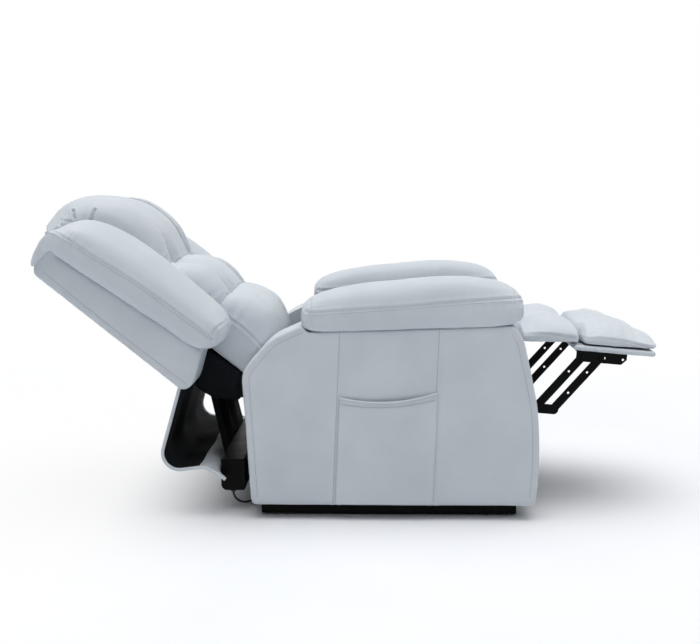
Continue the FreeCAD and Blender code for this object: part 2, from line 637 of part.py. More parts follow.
def arms():
    """Arm boards, padded covers, side pockets and overstuffed armrests."""
    nodes = {}
    outline = Part.Wire(rounded_edges(ARM_SHAPE, at_y(PLATE_OUTER)))
    inset = outline.makeOffset2D(-ARM_WALL)
    body = Part.Face(outline).extrude(V(0, ARM_OUTER - PLATE_OUTER, 0))
    rim = [e for e in body.Edges if e.BoundBox.YMin > ARM_OUTER - 0.01]
    body = body.makeFillet(ARM_EDGE_R, rim)
    cavity = Part.Face(inset).extrude(V(0, ARM_OUTER - ARM_WALL - PLATE_OUTER, 0))
    cover = body.cut(cavity)
    board = Part.Face(inset).extrude(V(0, ARM_BOARD_T, 0))

    low_rear, top_rear, dip, top_front, low_front = POCKET_SHAPE
    y0, y1 = ARM_OUTER, ARM_OUTER + POCKET_DEPTH + POCKET_CLOTH
    pouch = Part.Face(traced(low_rear, [(top_rear,), (dip, top_front), (low_front,)], at_y(y0)))
    pouch = pouch.extrude(V(0, y1 - y0, 0))
    front = [e for e in pouch.Edges if e.BoundBox.YMin > y1 - 0.01 and e.BoundBox.ZMin < top_rear[1] - 20]
    pouch = pouch.makeFillet(POCKET_CLOTH - 0.5, front)
    up = top_front[1] - dip[1] + POCKET_SEAM
    hollow = [(low_rear[0] + POCKET_SEAM, low_rear[1] + POCKET_SEAM, POCKET_R),
              (top_rear[0] + POCKET_SEAM, top_rear[1] + up), (top_front[0] - POCKET_SEAM, top_front[1] + up),
              (low_front[0] - POCKET_SEAM, low_front[1] + POCKET_SEAM, POCKET_R)]
    pocket = pouch.cut(plate(hollow, y0, y0 + POCKET_DEPTH))

    wires = []
    for x, full in armrest_stations():
        bottom = arm_top(x) + ARMREST_SEAT + ARMREST_END_LIFT * (1 - full)
        height = (parabola(ARMREST_CREST, x) - bottom) * (0.42 + 0.58 * full)
        draw = ARMREST_END_DRAW * (1 - full)
        outer, inner = ARMREST_OUTER - draw, PLATE_OUTER + ARMREST_INNER_GAP + draw
        middle = (outer + inner) / 2
        wires.append(traced((inner + 9, bottom), [
            ((outer - 7, bottom),),
            ((outer, bottom + height * 0.4), (outer - 16, bottom + height * 0.8)),
            ((middle, bottom + height), (inner + 16, bottom + height * 0.82)),
            ((inner, bottom + height * 0.42), (inner + 9, bottom))], lambda y, z, x=x: V(x, y, z)))
    rest = loft(wires)

    pieces = {"arm_board": board, "arm_cover": cover, "arm_pocket": pocket, "armrest": rest}
    for name, shape in pieces.items():
        nodes[name + "_left"] = shape
        nodes[name + "_right"] = mirrored(shape)
    return nodes


def footrest():
    """Leg arms on their torque tube, two pairs of bars, the ottoman and the calf pad."""
    nodes = {}
    front_up = (FOOT_FRONT_PIN[0] + BAR_RISE[0], FOOT_FRONT_PIN[1] + BAR_RISE[1])
    rear_up = (FOOT_REAR_PIN[0] + BAR_RISE[0], FOOT_REAR_PIN[1] + BAR_RISE[1])
    y0, y1 = LEG_ARM_Y, LEG_ARM_Y + LINK_T
    inner = BAR_Y - CUT_OVER

    arm = bar(LEG_PIVOT, FOOT_REAR_PIN, LEG_ARM_W, y0, y1).fuse(
        bar(FOOT_REAR_PIN, FOOT_FRONT_PIN, LEG_ARM_W, y0, y1)).fuse(
        pin(LEG_PIVOT[0], LEG_PIVOT[1], PIN_R + 9, y0, y1)).removeSplitter()
    arm = arm.cut(pin(LEG_PIVOT[0], LEG_PIVOT[1], PIN_R, y0 - CUT_OVER, y1 + CUT_OVER))
    pivots = [pin(x, z, RIVET_R - PIN_RUN, inner, y0) for x, z in (FOOT_REAR_PIN, FOOT_FRONT_PIN)]
    arm = arm.fuse(pivots)
    nodes["leg_arm_left"] = arm
    nodes["leg_arm_right"] = mirrored(arm)
    tube = pin(LEG_PIVOT[0], LEG_PIVOT[1], LEG_TUBE_R, -y0, y0)
    nodes["leg_torque_tube"] = tube.fuse(crank(LEG_PIVOT, -LEG_LEVER, LEG_TRAVEL, LEG_Y))

    for name, low, up, holes in (("leg_bar_rear", FOOT_REAR_PIN, rear_up, (0.71,)),
                                 ("leg_bar_front", FOOT_FRONT_PIN, front_up, (0.32, 0.72))):
        link = bar(low, up, BAR_W, BAR_Y, BAR_Y + LINK_T)
        for x, z in (low, up):
            link = link.cut(pin(x, z, RIVET_R, BAR_Y - CUT_OVER, BAR_Y + LINK_T + CUT_OVER))
        for share in holes:
            x, z = low[0] + (up[0] - low[0]) * share, low[1] + (up[1] - low[1]) * share
            link = link.cut(pin(x, z, HOLE_R, BAR_Y - CUT_OVER, BAR_Y + LINK_T + CUT_OVER))
        nodes[name + "_left"] = link
        nodes[name + "_right"] = mirrored(link)

    drop = BOARD_REAR[1] - BOARD_T - rear_up[1]
    low = -BOARD_T - drop - BAR_W / 2
    outline = [(BRACKET_START, -BOARD_T), (BRACKET_START, low, LUG),
               (BRACKET_END - BRACKET_CUT, low, LUG / 2), (BRACKET_END, low + BRACKET_CUT, LUG / 2),
               (BRACKET_END, -BOARD_T)]
    web = foot_plate(outline, y0, y1)
    flange = foot_plate([(BRACKET_START, -BOARD_T - FLANGE_T), (BRACKET_END, -BOARD_T - FLANGE_T),
                         (BRACKET_END, -BOARD_T), (BRACKET_START, -BOARD_T)], y0 - FLANGE_W, y1)
    bracket = web.fuse(flange).removeSplitter()
    for a in BRACKET_HOLES:
        x, z = on_foot(a, low + BRACKET_CUT)
        bracket = bracket.cut(pin(x, z, HOLE_R, y0 - CUT_OVER, y1 + CUT_OVER))
    bracket = bracket.fuse([pin(x, z, RIVET_R - PIN_RUN, inner, y0) for x, z in (rear_up, front_up)])
    nodes["ottoman_bracket_left"] = bracket
    nodes["ottoman_bracket_right"] = mirrored(bracket)

    half = FOOT_HALF
    nodes["ottoman_board"] = foot_plate(
        [(0.0, -BOARD_T, BOARD_EDGE_R), (BOARD_L, -BOARD_T, BOARD_EDGE_R), (BOARD_L, 0.0, BOARD_EDGE_R),
         (0.0, 0.0, BOARD_EDGE_R)], -half, half)

    wires = []
    side = [(half, FOOT_EDGE_FULL, FOOT_EDGE_DRAW), (half - FOOT_SHOULDER, FOOT_SHOULDER_FULL, 1.0)]
    stations = [(-y, full, draw) for y, full, draw in side] + [(0.0, 1.0, 0.0)] + side[::-1]
    for y, full, draw in stations:
        place = lambda a, b, y=y: V(on_foot(a, b)[0], y, on_foot(a, b)[1])
        swell = [(a, b * full + PAD_SEAM) for a, b in PAD_TOP]
        rear, front = PAD_REAR + draw, PAD_FRONT - draw
        wires.append(traced((rear + PAD_SEAM, PAD_SEAT), [
            ((rear, swell[0][1]), (rear + swell[1][0], swell[1][1])),
            (swell[2], swell[3]),
            (swell[4], (front, swell[5][1])),
            ((front - FOOT_EDGE_DRAW, PAD_SEAT),)], place))
    nodes["ottoman_pad"] = loft(wires)

    wires = []
    x0, z0 = CALF_HINGE
    for y, full, draw in stations:
        rear, front = x0 + CALF_GAP + draw / 3, x0 + CALF_L - draw / 3
        (rise, _), (a1, b1), (a2, b2), (a3, b3) = CALF_TOP
        wires.append(traced((rear, z0 + 2), [
            ((rear, z0 + 2 + rise * full),),
            ((x0 + a1, z0 + 12 + b1 * full), (x0 + a2, z0 + 8 + b2 * full)),
            ((front - a3, z0 + 4 + b3 * full), (front - 2 * a3, z0))], at_y(y)))
    nodes["calf_pad"] = loft(wires)
    return nodes


def shell_front(s):
    """How far out of its rear face the shell's front edge lies, s up the back."""
    share = (s - SHELL_FOOT) / (SHELL_SHOULDER - SHELL_FOOT)
    return SHELL_FRONT_LOW + (SHELL_FRONT_HIGH - SHELL_FRONT_LOW) * share


def back_structure():
    """Back frame, hinge brackets with the recline crank, outer shell and dust cover."""
    nodes = {}
    outer = BACK_CORE - FRAME_SIDE
    t0 = SHELL_WALL + FRAME_SET
    stile = back_plate([(STILE_LOW, t0 + 22), (10.0, t0), (FRAME_TOP, t0), (FRAME_TOP, t0 + 30),
                        (60.0, t0 + STILE_T), (STILE_LOW, t0 + STILE_T)], outer - STILE_W, outer)
    pieces = [stile, mirrored(stile)]
    inner = outer - STILE_W
    for s, thick in ((STILE_LOW, STILE_T - 22), (FRAME_TOP / 2, RAIL_T), (FRAME_TOP - RAIL_W_BACK, RAIL_T)):
        base_t = t0 + 22 if s < 0 else t0
        top_t = base_t + thick
        up = s + RAIL_W_BACK
        pieces.append(back_plate([(s, base_t), (up, base_t), (up, top_t), (s, top_t)], -inner, inner))
    nodes["back_frame"] = Part.makeCompound(pieces)

    y0, y1 = LEG_ARM_Y, LEG_ARM_Y + LINK_T
    foot = [on_back(STILE_LOW + 10, t0 + 30), on_back(STILE_LOW + 90, t0 + 40)]
    hinge = bar(RECLINE_PIVOT, foot[0], HINGE_W, y0, y1).fuse(bar(foot[0], foot[1], HINGE_W, y0, y1))
    hinge = hinge.removeSplitter()
    hinge = hinge.cut(pin(RECLINE_PIVOT[0], RECLINE_PIVOT[1], PIN_R, y0 - CUT_OVER, y1 + CUT_OVER))
    hinge = hinge.fuse([pin(x, z, SPACER_R, outer, y0) for x, z in foot])
    lever = crank(RECLINE_PIVOT, -RECLINE_LEVER, RECLINE_TRAVEL, RECLINE_Y)
    lever_y = (RECLINE_Y - CRANK_T / 2, RECLINE_Y + CRANK_T / 2)
    lever = lever.fuse(bar(RECLINE_PIVOT, on_back(STILE_LOW + 10, t0 + 40), 32.0, *lever_y)).removeSplitter()
    beyond = [(STILE_LOW, 0.0), (STILE_LOW + 60, 0.0), (STILE_LOW + 60, 140.0), (STILE_LOW, 140.0)]
    nodes["back_brackets"] = Part.makeCompound([hinge, mirrored(hinge)])
    nodes["recline_crank"] = lever.cut(back_plate(beyond, *lever_y))

    corners = [(0.0, 0.0), (SHELL_TOP - 6, 0.0), (SHELL_TOP + 4, 42.0), (SHELL_SHOULDER, SHELL_FRONT_HIGH),
               (SHELL_FOOT, SHELL_FRONT_LOW)]
    shell = back_plate([c + (r,) for c, r in zip(corners, SHELL_SHAPE_R)], -SHELL_HALF, SHELL_HALF)
    w = SHELL_WALL
    top, front, ledge = SHELL_TOP - 6 - w, 2 * SHELL_FRONT_LOW, SHELL_FOOT + w
    room = [(SHELL_FOOT - w, w), (top, w), (top, front), (ledge, front), (ledge, SHELL_FRONT_LOW)]
    shell = shell.cut(back_plate(room, -SHELL_HALF + w, SHELL_HALF - w))
    door = 2 * SHELL_FOOT
    doorway = [(-door, w), (door, w), (door, front), (-door, front)]
    nodes["back_shell"] = shell.cut(back_plate(doorway, -BACK_CORE, BACK_CORE))

    c = COVER_CLOTH
    side = outer + 0.5
    wrap = [(40.0, w + 1), (40.0, t0 + STILE_T + 4), (-91.0, t0 + STILE_T + 14), (-135.0, 31.0, 10.0),
            (-70.0, -7.0, 30.0), (-6.0, -18.0, 6.0), (-2.0, w + 1)]
    hollow = [(60.0, w + 1 + c), (60.0, 140.0), (-160.0, 140.0), (-160.0, 31.0 + c), (-135.0, 31.0 + c, 10.0),
              (-70.0, -7.0 + c, 30.0), (-6.0 - c, -18.0 + c, 4.0), (-2.0 - c, w + 1 + c)]
    cover = back_plate(wrap, -side - c, side + c).cut(back_plate(hollow, -side, side))
    for x, z in foot:
        hole = pin(x, z, SPACER_R + SPACER_RUN, side - LINK_T, y1)
        cover = cover.cut(hole).cut(mirrored(hole))
    nodes["dust_cover"] = cover
    return nodes


def cushion_stations(half):
    """Places across a back cushion: y, share of its fullness, draw of its ends, depth of its channel."""
    left = [(half, 0.62, 9.0, 0.0), (half - 26, 0.96, 2.0, 0.0), (CHANNEL_Y, 1.0, 1.0, CHANNEL_DEPTH)]
    right = [(-y, full, draw, dip) for y, full, draw, dip in left]
    middle = [(-CHANNEL_Y / 2, 1.0, 0.0, 2.0), (0.0, 1.02, 0.0, 0.0), (CHANNEL_Y / 2, 1.0, 0.0, 2.0)]
    return right + middle + left[::-1]


def back_cushions():
    """Head pillow, middle and lumbar cushions with their channels, and the side wings."""
    nodes = {}
    half = BACK_CORE
    frame_front = SHELL_WALL + FRAME_SET + STILE_T
    for name, low, high, edge, crest in (("lumbar_cushion", LUMBAR_LOW, 66.0, 236.0, 284.0),
                                         ("mid_cushion", 66.0 + CUSHION_GAP, 238.0, 240.0, 271.0)):
        base_t = frame_front + (16.0 if low < 0 else 8.0)
        wires = []
        for y, full, draw, dip in cushion_stations(half):
            place = lambda s, t, y=y: V(on_back(s, t)[0], y, on_back(s, t)[1])
            rise = base_t + (edge - base_t) * full - dip / 2
            top = base_t + (crest - base_t) * full - dip
            a, b = low + draw, high - draw
            wires.append(traced((a + 6, base_t), [
                ((a, (base_t + rise) / 2), (a + 8, rise)),
                (((a + b) / 2, top), (b - 8, rise)),
                ((b, (base_t + rise) / 2), (b - 6, base_t))], place))
        nodes[name] = loft(wires)

    low = 238.0 + CUSHION_GAP
    wires = []
    for y, full, draw, dip in cushion_stations(half):
        place = lambda s, t, y=y: V(on_back(s, t)[0], y, on_back(s, t)[1])
        base_t = frame_front + 8.0
        lift = lambda t: base_t + (t - base_t) * full - dip
        high = 607.0 - (1.0 - full) * 150.0
        step = SHELL_TOP + 8.0
        wires.append(traced((low + draw + 4, base_t), [
            ((low + draw, lift(170.0)), (low + draw + 8, lift(228.0))),
            ((335.0, lift(268.0)), (430.0, lift(261.0))),
            (((430.0 + high) / 2 + 16, lift(208.0)), (high - 4, 104.0 - dip / 2)),
            ((high, 74.0), (high - 14, 50.0)),
            ((step, 50.0),),
            ((step, base_t),)], place))
    nodes["head_pillow"] = loft(wires)

    wires = []
    y_in, y_out = BACK_CORE + WING_GAP, SHELL_HALF
    for s, lift, ridge, draw in WING_STATIONS:
        foot = shell_front(s) + WING_SEAT + lift
        rise = ridge - foot
        place = lambda y, t, s=s: V(on_back(s, t)[0], y, on_back(s, t)[1])
        a, b = y_in + draw, y_out - draw
        wires.append(traced((a + 4, foot), [
            ((b - 4, foot),),
            ((b + 2, foot + rise * 0.42), (b - 18, foot + rise * 0.78)),
            (((a + b) / 2, ridge), (a + 20, foot + rise * 0.88)),
            ((a, foot + rise * 0.5), (a + 4, foot))], place))
    wing = loft(wires)
    nodes["wing_left"] = wing
    nodes["wing_right"] = mirrored(wing)
    return nodes


def rear_cloth():
    """Skirt flap from the shell to the rear rail, the curtain inside it, and the cloth behind the seat."""
    nodes = {}
    off = CLOTH_TOUCH + CLOTH_T / 2
    hem_x = REAR_RAIL_X - off
    shell_x, shell_z = on_back(SHELL_SHAPE_R[0], -off)
    wires = []
    count = FOLD_COUNT
    for i in range(count + 1):
        y = -FLAP_HALF + 2 * FLAP_HALF * i / count
        fold = FLAP_FOLD * (1 if i % 2 else -1)
        (x1, z1, r1), (x2, z2, r2), (back, z3, r3), low = FLAP_PATH
        path = [(shell_x, shell_z), (x1 + fold, z1 - fold / 2, r1), (x2, z2 - fold / 3, r2),
                (hem_x - back, z3, r3), (hem_x, REAR_RAIL_Z + low)]
        wires.append(Part.Wire(rounded_edges(band(path, CLOTH_T), at_y(y))))
    nodes["skirt_flap"] = loft(wires)
    top_x, top_z = on_back(*CURTAIN_TOP)
    rail_top = REAR_RAIL_Z + REAR_RAIL_H
    wires = []
    for i in range(count + 1):
        y = -CURTAIN_HALF + 2 * CURTAIN_HALF * i / count
        fold = CURTAIN_FOLD * (1 if i % 2 else -1)
        path = [(top_x, top_z), (CURTAIN_BEND[0] + fold, CURTAIN_BEND[1], CURTAIN_BEND[2]),
                (REAR_RAIL_X + CLOTH_T, rail_top + CLOTH_TOUCH + CURTAIN_TILT)]
        wires.append(Part.Wire(rounded_edges(band(path, CLOTH_T), at_y(y))))
    nodes["inner_curtain"] = loft(wires)
    top = on_back(LUMBAR_LOW - off, 170.0)
    wires = []
    for i in range(count + 1):
        y = -GUSSET_HALF + 2 * GUSSET_HALF * i / count
        fold = GUSSET_FOLD * (1 if i % 2 else -1)
        path = [top, (GUSSET_SAG[0], GUSSET_SAG[1] + fold, GUSSET_SAG[2]),
                (SEAT_REAR - off - CLOTH_LEAN, (CUSHION_BOTTOM + SEAT_EDGE_Z) / 2)]
        wires.append(Part.Wire(rounded_edges(band(path, CLOTH_T), at_y(y))))
    nodes["seat_back_cloth"] = loft(wires)
    return nodes


def actuator(pivot, lever, travel, y, way):
    """Housing with its tube and motor, and the rod whose forked end carries the crank's pin.

    The rod points along +X where way is 1 and along -X where way is -1.
    """
    first, last = yoke(pivot, lever, travel)
    z = first[1]
    stroke = abs(last[0] - first[0])
    drawn_in = min(first[0], last[0]) if way > 0 else max(first[0], last[0])
    eye = YOKE_PIN_R + FORK_EDGE
    mouth = drawn_in - way * (FORK_REACH + FORK_NECK + MOUTH_GAP)
    gear_face = GEAR_X + GEAR_L if way > 0 else GEAR_X
    gear = box(GEAR_X, GEAR_X + GEAR_L, y - GEAR_HALF, y + GEAR_HALF, CROSS_Z + CROSS_W, z + GEAR_HALF)
    gear = gear.makeFillet(GEAR_R, [e for e in gear.Edges if e.BoundBox.ZLength > GEAR_HALF])
    tube = Part.makeCylinder(TUBE_R, abs(mouth - gear_face), V(gear_face, y, z), V(way, 0, 0))
    motor = Part.makeCylinder(MOTOR_R, MOTOR_TOP - z, V(GEAR_X + GEAR_L / 2, y, z))
    bore = Part.makeCylinder(ROD_R + PIN_RUN, stroke + ROD_HOLD + MOUTH_GAP, V(mouth, y, z), V(-way, 0, 0))
    housing = gear.fuse([tube, motor]).cut(bore)

    rod_end = mouth - way * (ROD_HOLD + stroke - abs(first[0] - drawn_in))
    neck = first[0] - way * (FORK_REACH + FORK_NECK)
    rod = Part.makeCylinder(ROD_R, abs(neck - rod_end), V(rod_end, y, z), V(way, 0, 0))
    gap = CRANK_T / 2 + FORK_GAP
    head_x = sorted((neck, first[0] - way * FORK_REACH))
    head = box(head_x[0], head_x[1], y - gap - FORK_T, y + gap + FORK_T, z - eye, z + eye)
    cheek_x = sorted((neck, first[0]))
    cheeks = []
    for y0 in (y + gap, y - gap - FORK_T):
        cheeks.append(box(cheek_x[0], cheek_x[1], y0, y0 + FORK_T, z - eye, z + eye))
        cheeks.append(pin(first[0], z, eye, y0, y0 + FORK_T))
    cheeks.append(pin(first[0], z, YOKE_PIN_R, y - gap - FORK_T, y + gap + FORK_T))
    return housing, rod.fuse([head] + cheeks).removeSplitter()


def actuators():
    """Lift, recline and legrest drives on the front cross tube."""
    nodes = {}
    drives = (("lift", LIFT_END, LIFT_LEVER, LIFT_TRAVEL - LIFT_TILT, 0.0, -1),
              ("recline", RECLINE_PIVOT, -RECLINE_LEVER, RECLINE_TRAVEL, RECLINE_Y, -1),
              ("leg", LEG_PIVOT, -LEG_LEVER, LEG_TRAVEL, LEG_Y, 1))
    for name, pivot, lever, travel, y, way in drives:
        nodes[name + "_actuator"], nodes[name + "_rod"] = actuator(pivot, lever, travel, y, way)
    return nodes


def centre_shift(shapes):
    """Half-way place along X of everything, measured on fine facets."""
    low, high = 1e9, -1e9
    for shape in shapes:
        facets = shape.tessellate(0.05)[0]
        low = min(low, min(p.x for p in facets))
        high = max(high, max(p.x for p in facets))
    return (low + high) / 2


def build():
    """Every node of the chair, with the origin on the floor under the middle of its length."""
    nodes = {}
    for group in (base, lift_linkage, carriage, lead, seat, arms, footrest, back_structure, back_cushions,
                  rear_cloth, actuators):
        nodes.update(group())
    ends = [nodes["head_pillow"], nodes["ottoman_pad"], nodes["ottoman_board"]]
    shift = V(-centre_shift(ends), 0, 0)
    for shape in nodes.values():
        shape.translate(shift)
    return nodes, shift


def main():
    """Write one STEP file for each node."""
    os.makedirs("parts", exist_ok=True)
    nodes, shift = build()
    for name, shape in nodes.items():
        shape.exportStep("parts/" + name + ".step")
    print("%d nodes, shifted %.3f along X" % (len(nodes), shift.x))


if __name__ == "__main__":
    main()
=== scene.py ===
"""Reclined lift chair: covers, cushions, cloth, steel and studio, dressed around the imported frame.

Places are given in the drawing's millimetres: X forward from the camera's plane, Y to the occupant's left,
Z up from the floor. Layout turns them into the frame's metres.
"""
from __future__ import annotations

import json
import logging
import math
from dataclasses import dataclass, field
from enum import Enum
from typing import Callable, Sequence

import bpy
import numpy as np
from mathutils import Euler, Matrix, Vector, noise

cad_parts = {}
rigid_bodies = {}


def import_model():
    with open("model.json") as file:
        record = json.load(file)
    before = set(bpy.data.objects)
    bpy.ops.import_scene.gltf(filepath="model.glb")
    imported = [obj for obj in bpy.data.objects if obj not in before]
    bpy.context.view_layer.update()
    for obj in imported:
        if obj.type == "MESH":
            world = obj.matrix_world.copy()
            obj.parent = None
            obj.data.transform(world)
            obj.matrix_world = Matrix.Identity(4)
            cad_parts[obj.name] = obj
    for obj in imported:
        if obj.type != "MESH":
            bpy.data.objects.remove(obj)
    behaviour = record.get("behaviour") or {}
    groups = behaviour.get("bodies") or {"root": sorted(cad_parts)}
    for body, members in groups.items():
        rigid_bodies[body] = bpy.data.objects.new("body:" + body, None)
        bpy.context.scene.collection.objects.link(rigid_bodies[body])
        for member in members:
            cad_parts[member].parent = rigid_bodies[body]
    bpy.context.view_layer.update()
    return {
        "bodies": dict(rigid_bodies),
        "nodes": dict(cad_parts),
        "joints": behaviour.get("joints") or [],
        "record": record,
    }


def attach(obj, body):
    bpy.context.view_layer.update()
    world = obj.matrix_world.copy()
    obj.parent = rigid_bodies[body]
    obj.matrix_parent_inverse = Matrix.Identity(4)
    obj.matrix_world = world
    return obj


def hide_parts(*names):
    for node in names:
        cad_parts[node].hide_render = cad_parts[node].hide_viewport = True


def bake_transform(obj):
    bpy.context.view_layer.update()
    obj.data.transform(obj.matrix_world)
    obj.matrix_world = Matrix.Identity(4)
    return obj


LOG = logging.getLogger("lift_chair")
MM = 0.001
TURN = 6.283
THREAD_LIFT = 0.2 * MM
BOTH_WAYS = (1, -1)
Pair = tuple[float, float]
Triple = tuple[float, float, float]
Array = np.ndarray
Ease = Callable[[Array], Array]
Piece = bpy.types.Object
Material = bpy.types.Material
Tree = bpy.types.NodeTree
Node = bpy.types.Node
Socket = bpy.types.NodeSocket


class Side(Enum):
    """Which side of the chair a piece is on."""

    LEFT = 1
    RIGHT = -1

    @property
    def word(self) -> str:
        """The side's name as the frame's nodes spell it."""
        return self.name.lower()


@dataclass(frozen=True)
class Layout:
    """The frame, and the drawing's own coordinates.

    Args:
        shift: metres from the drawing's X to the frame's X.
        back_low: X and Z of the lower end of the back's rear face.
        back_lean: how far the back leans, in degrees above the floor.
        board_rear: X and Z of the rear end of the ottoman's board.
        foot_tilt: how far the board falls towards its front, in degrees.
    """

    frame: dict
    shift: float
    back_low: Pair = (-488.8, 351.5)
    back_lean: float = 38.7
    board_rear: Pair = (541, 448)
    foot_tilt: float = 4.8

    @staticmethod
    def of(frame: dict) -> "Layout":
        """Find the shift that puts the recline hinge at its drawn place.


        Returns:
            The layout with that shift.
        """
        drawn_hinge = -300
        hinge = next(j for j in frame["joints"] if j["name"] == "recline")
        return Layout(frame, hinge["pos_m"][0] - drawn_hinge * MM)

    def at(self, x: float, y: float, z: float) -> Vector:
        """The frame's place of a drawn point."""
        return Vector((x * MM + self.shift, y * MM, z * MM))

    def side(self, x: float, z: float, y: float) -> Vector:
        """The frame's place of a point of the side view."""
        return self.at(x, y, z)

    def drawn(self, places: Array) -> Array:
        """Drawn millimetres of the frame's places."""
        return (places - (self.shift, 0, 0)) / MM

    def framed(self, drawn: Array) -> Array:
        """The frame's places of drawn millimetres."""
        return drawn * MM + (self.shift, 0, 0)

    def back(self, s: float, t: float, y: float = 0) -> Vector:
        """Find a point of the back.

        Args:
            s: how far up the back it is.
            t: how far out of the back's rear face.
            y: how far to the occupant's left.

        Returns:
            Its place in the frame.
        """
        lean = math.radians(self.back_lean)
        x = self.back_low[0] - s * math.cos(lean) + t * math.sin(lean)
        z = self.back_low[1] + s * math.sin(lean) + t * math.cos(lean)
        return self.at(x, y, z)

    def foot(self, a: float, b: float, y: float = 0) -> Vector:
        """Find a point of the ottoman.

        Args:
            a: how far along its board it is, from the rear.
            b: how far above the board.
            y: how far to the occupant's left.

        Returns:
            Its place in the frame.
        """
        tilt = math.radians(self.foot_tilt)
        x = self.board_rear[0] + a * math.cos(tilt) + b * math.sin(tilt)
        z = self.board_rear[1] - a * math.sin(tilt) + b * math.cos(tilt)
        return self.at(x, y, z)

    def back_plane(self, places: Array) -> tuple[Array, Array]:
        """How far up the back and out of it the frame's places are, in millimetres."""
        away = places - np.array(self.back(0, 0))
        return away @ np.array(self.back_up) / MM, away @ np.array(self.back_out) / MM

    @property
    def back_up(self) -> Vector:
        """The way up the back's rear face."""
        return (self.back(1, 0) - self.back(0, 0)).normalized()

    @property
    def back_out(self) -> Vector:
        """The way out of the back's rear face, towards the occupant."""
        return (self.back(0, 1) - self.back(0, 0)).normalized()

    @property
    def foot_up(self) -> Vector:
        """The way up out of the ottoman's board."""
        return (self.foot(0, 1) - self.foot(0, 0)).normalized()


# Materials


def linear(hex_colour: str) -> tuple[float, float, float, float]:
    """An sRGB hex colour as linear red, green and blue, with an alpha of 1."""
    parts = [int(hex_colour[i:i + 2], 16) / 255 for i in (0, 2, 4)]
    return tuple(c / 12.92 if c <= 0.04045 else ((c + 0.055) / 1.055) ** 2.4 for c in parts) + (1,)


def plug(node: Node, sockets: dict) -> None:
    """Set a node's inputs.

    Args:
        node: the node.
        sockets: input name or number to a value, or to a node (its first output) or an output to link from.
    """
    for key, value in sockets.items():
        if isinstance(value, Node):
            value = value.outputs[0]
        if isinstance(value, Socket):
            node.id_data.links.new(value, node.inputs[key])
        else:
            node.inputs[key].default_value = value


def add(tree: Tree, kind: str, sockets: dict | None = None, stops: Sequence[tuple[float, tuple]] = (),
        **settings: object) -> Node:
    """Add one node.

    Args:
        tree: where it goes.
        kind: the node's type name, without its ShaderNode prefix.
        sockets: input name or number to a value, or to a node (its first output) or an output to link from.
        stops: place and linear colour of a colour ramp's two stops.
        settings: the node's own properties.

    Returns:
        The new node.
    """
    node = tree.nodes.new("ShaderNode" + kind)
    for name, value in settings.items():
        setattr(node, name, value)
    for bar, (place, colour) in zip(node.color_ramp.elements if stops else (), stops):
        bar.position = place
        bar.color = colour
    plug(node, sockets or {})
    return node


def per_metre(size_mm: float) -> float:
    """The texture scale whose features are size_mm apart."""
    return 1 / (size_mm * MM)


def bands(size_mm: float) -> float:
    """The wave texture scale whose bands are size_mm apart. At 1 it turns 20 radians in a metre."""
    return per_metre(size_mm) / 20 * TURN


def blank(name: str) -> tuple[Material, Tree, Node, Socket]:
    """Start a material.

    Args:
        name: the material's name.

    Returns:
        The material, its nodes, its shader and Object coordinates.
    """
    material = bpy.data.materials.new(name)
    material.use_nodes = True
    tree = material.node_tree
    shader = tree.nodes["Principled BSDF"]
    place = add(tree, "TexCoord").outputs["Object"]
    return material, tree, shader, place


@dataclass(frozen=True)
class CoatedLeather:
    """Pressed-grain coated leather: pebbles, faint creases and a dull sheen."""

    name: str = "coated_leather"
    colour: str = "C9D0D6"
    shade: str = "C1C9D0"
    pebble_mm: float = 2.2
    crease_mm: float = 26
    tone_mm: float = 120
    roughness: float = 0.52
    specular: float = 0.38
    sheen: float = 0.06

    def material(self) -> Material:
        """Make the finish. The real pebbles are about 1 mm; they are drawn larger, so that they show.

        Returns:
            The material.
        """
        # The thin coat gives a broad, soft highlight, which the pebbles break up and the creases bend.
        material, tree, shader, place = blank(self.name)
        tone = add(tree, "TexNoise", {"Vector": place, "Scale": per_metre(self.tone_mm), "Detail": 4})
        pebble = add(tree, "TexVoronoi", {"Vector": place, "Scale": per_metre(self.pebble_mm)},
                     feature="SMOOTH_F1")
        crease = add(tree, "TexNoise", {"Vector": place, "Scale": per_metre(self.crease_mm), "Detail": 5,
                                        "Distortion": 0.6})
        colour = add(tree, "ValToRGB", {"Fac": tone},
                     [(0.3, linear(self.shade)), (0.7, linear(self.colour))])
        rough = add(tree, "MapRange", {"Value": pebble, "From Max": 0.7,
                                       "To Min": self.roughness + 0.08, "To Max": self.roughness - 0.06})
        grain = add(tree, "Bump", {"Height": pebble, "Strength": 0.16, "Distance": 0.4 * MM}, invert=True)
        folds = add(tree, "Bump", {"Height": crease, "Strength": 0.12, "Distance": 2 * MM, "Normal": grain})
        plug(shader, {"Base Color": colour, "Roughness": rough, "Normal": folds,
                      "Specular IOR Level": self.specular, "Sheen Weight": self.sheen})
        return material


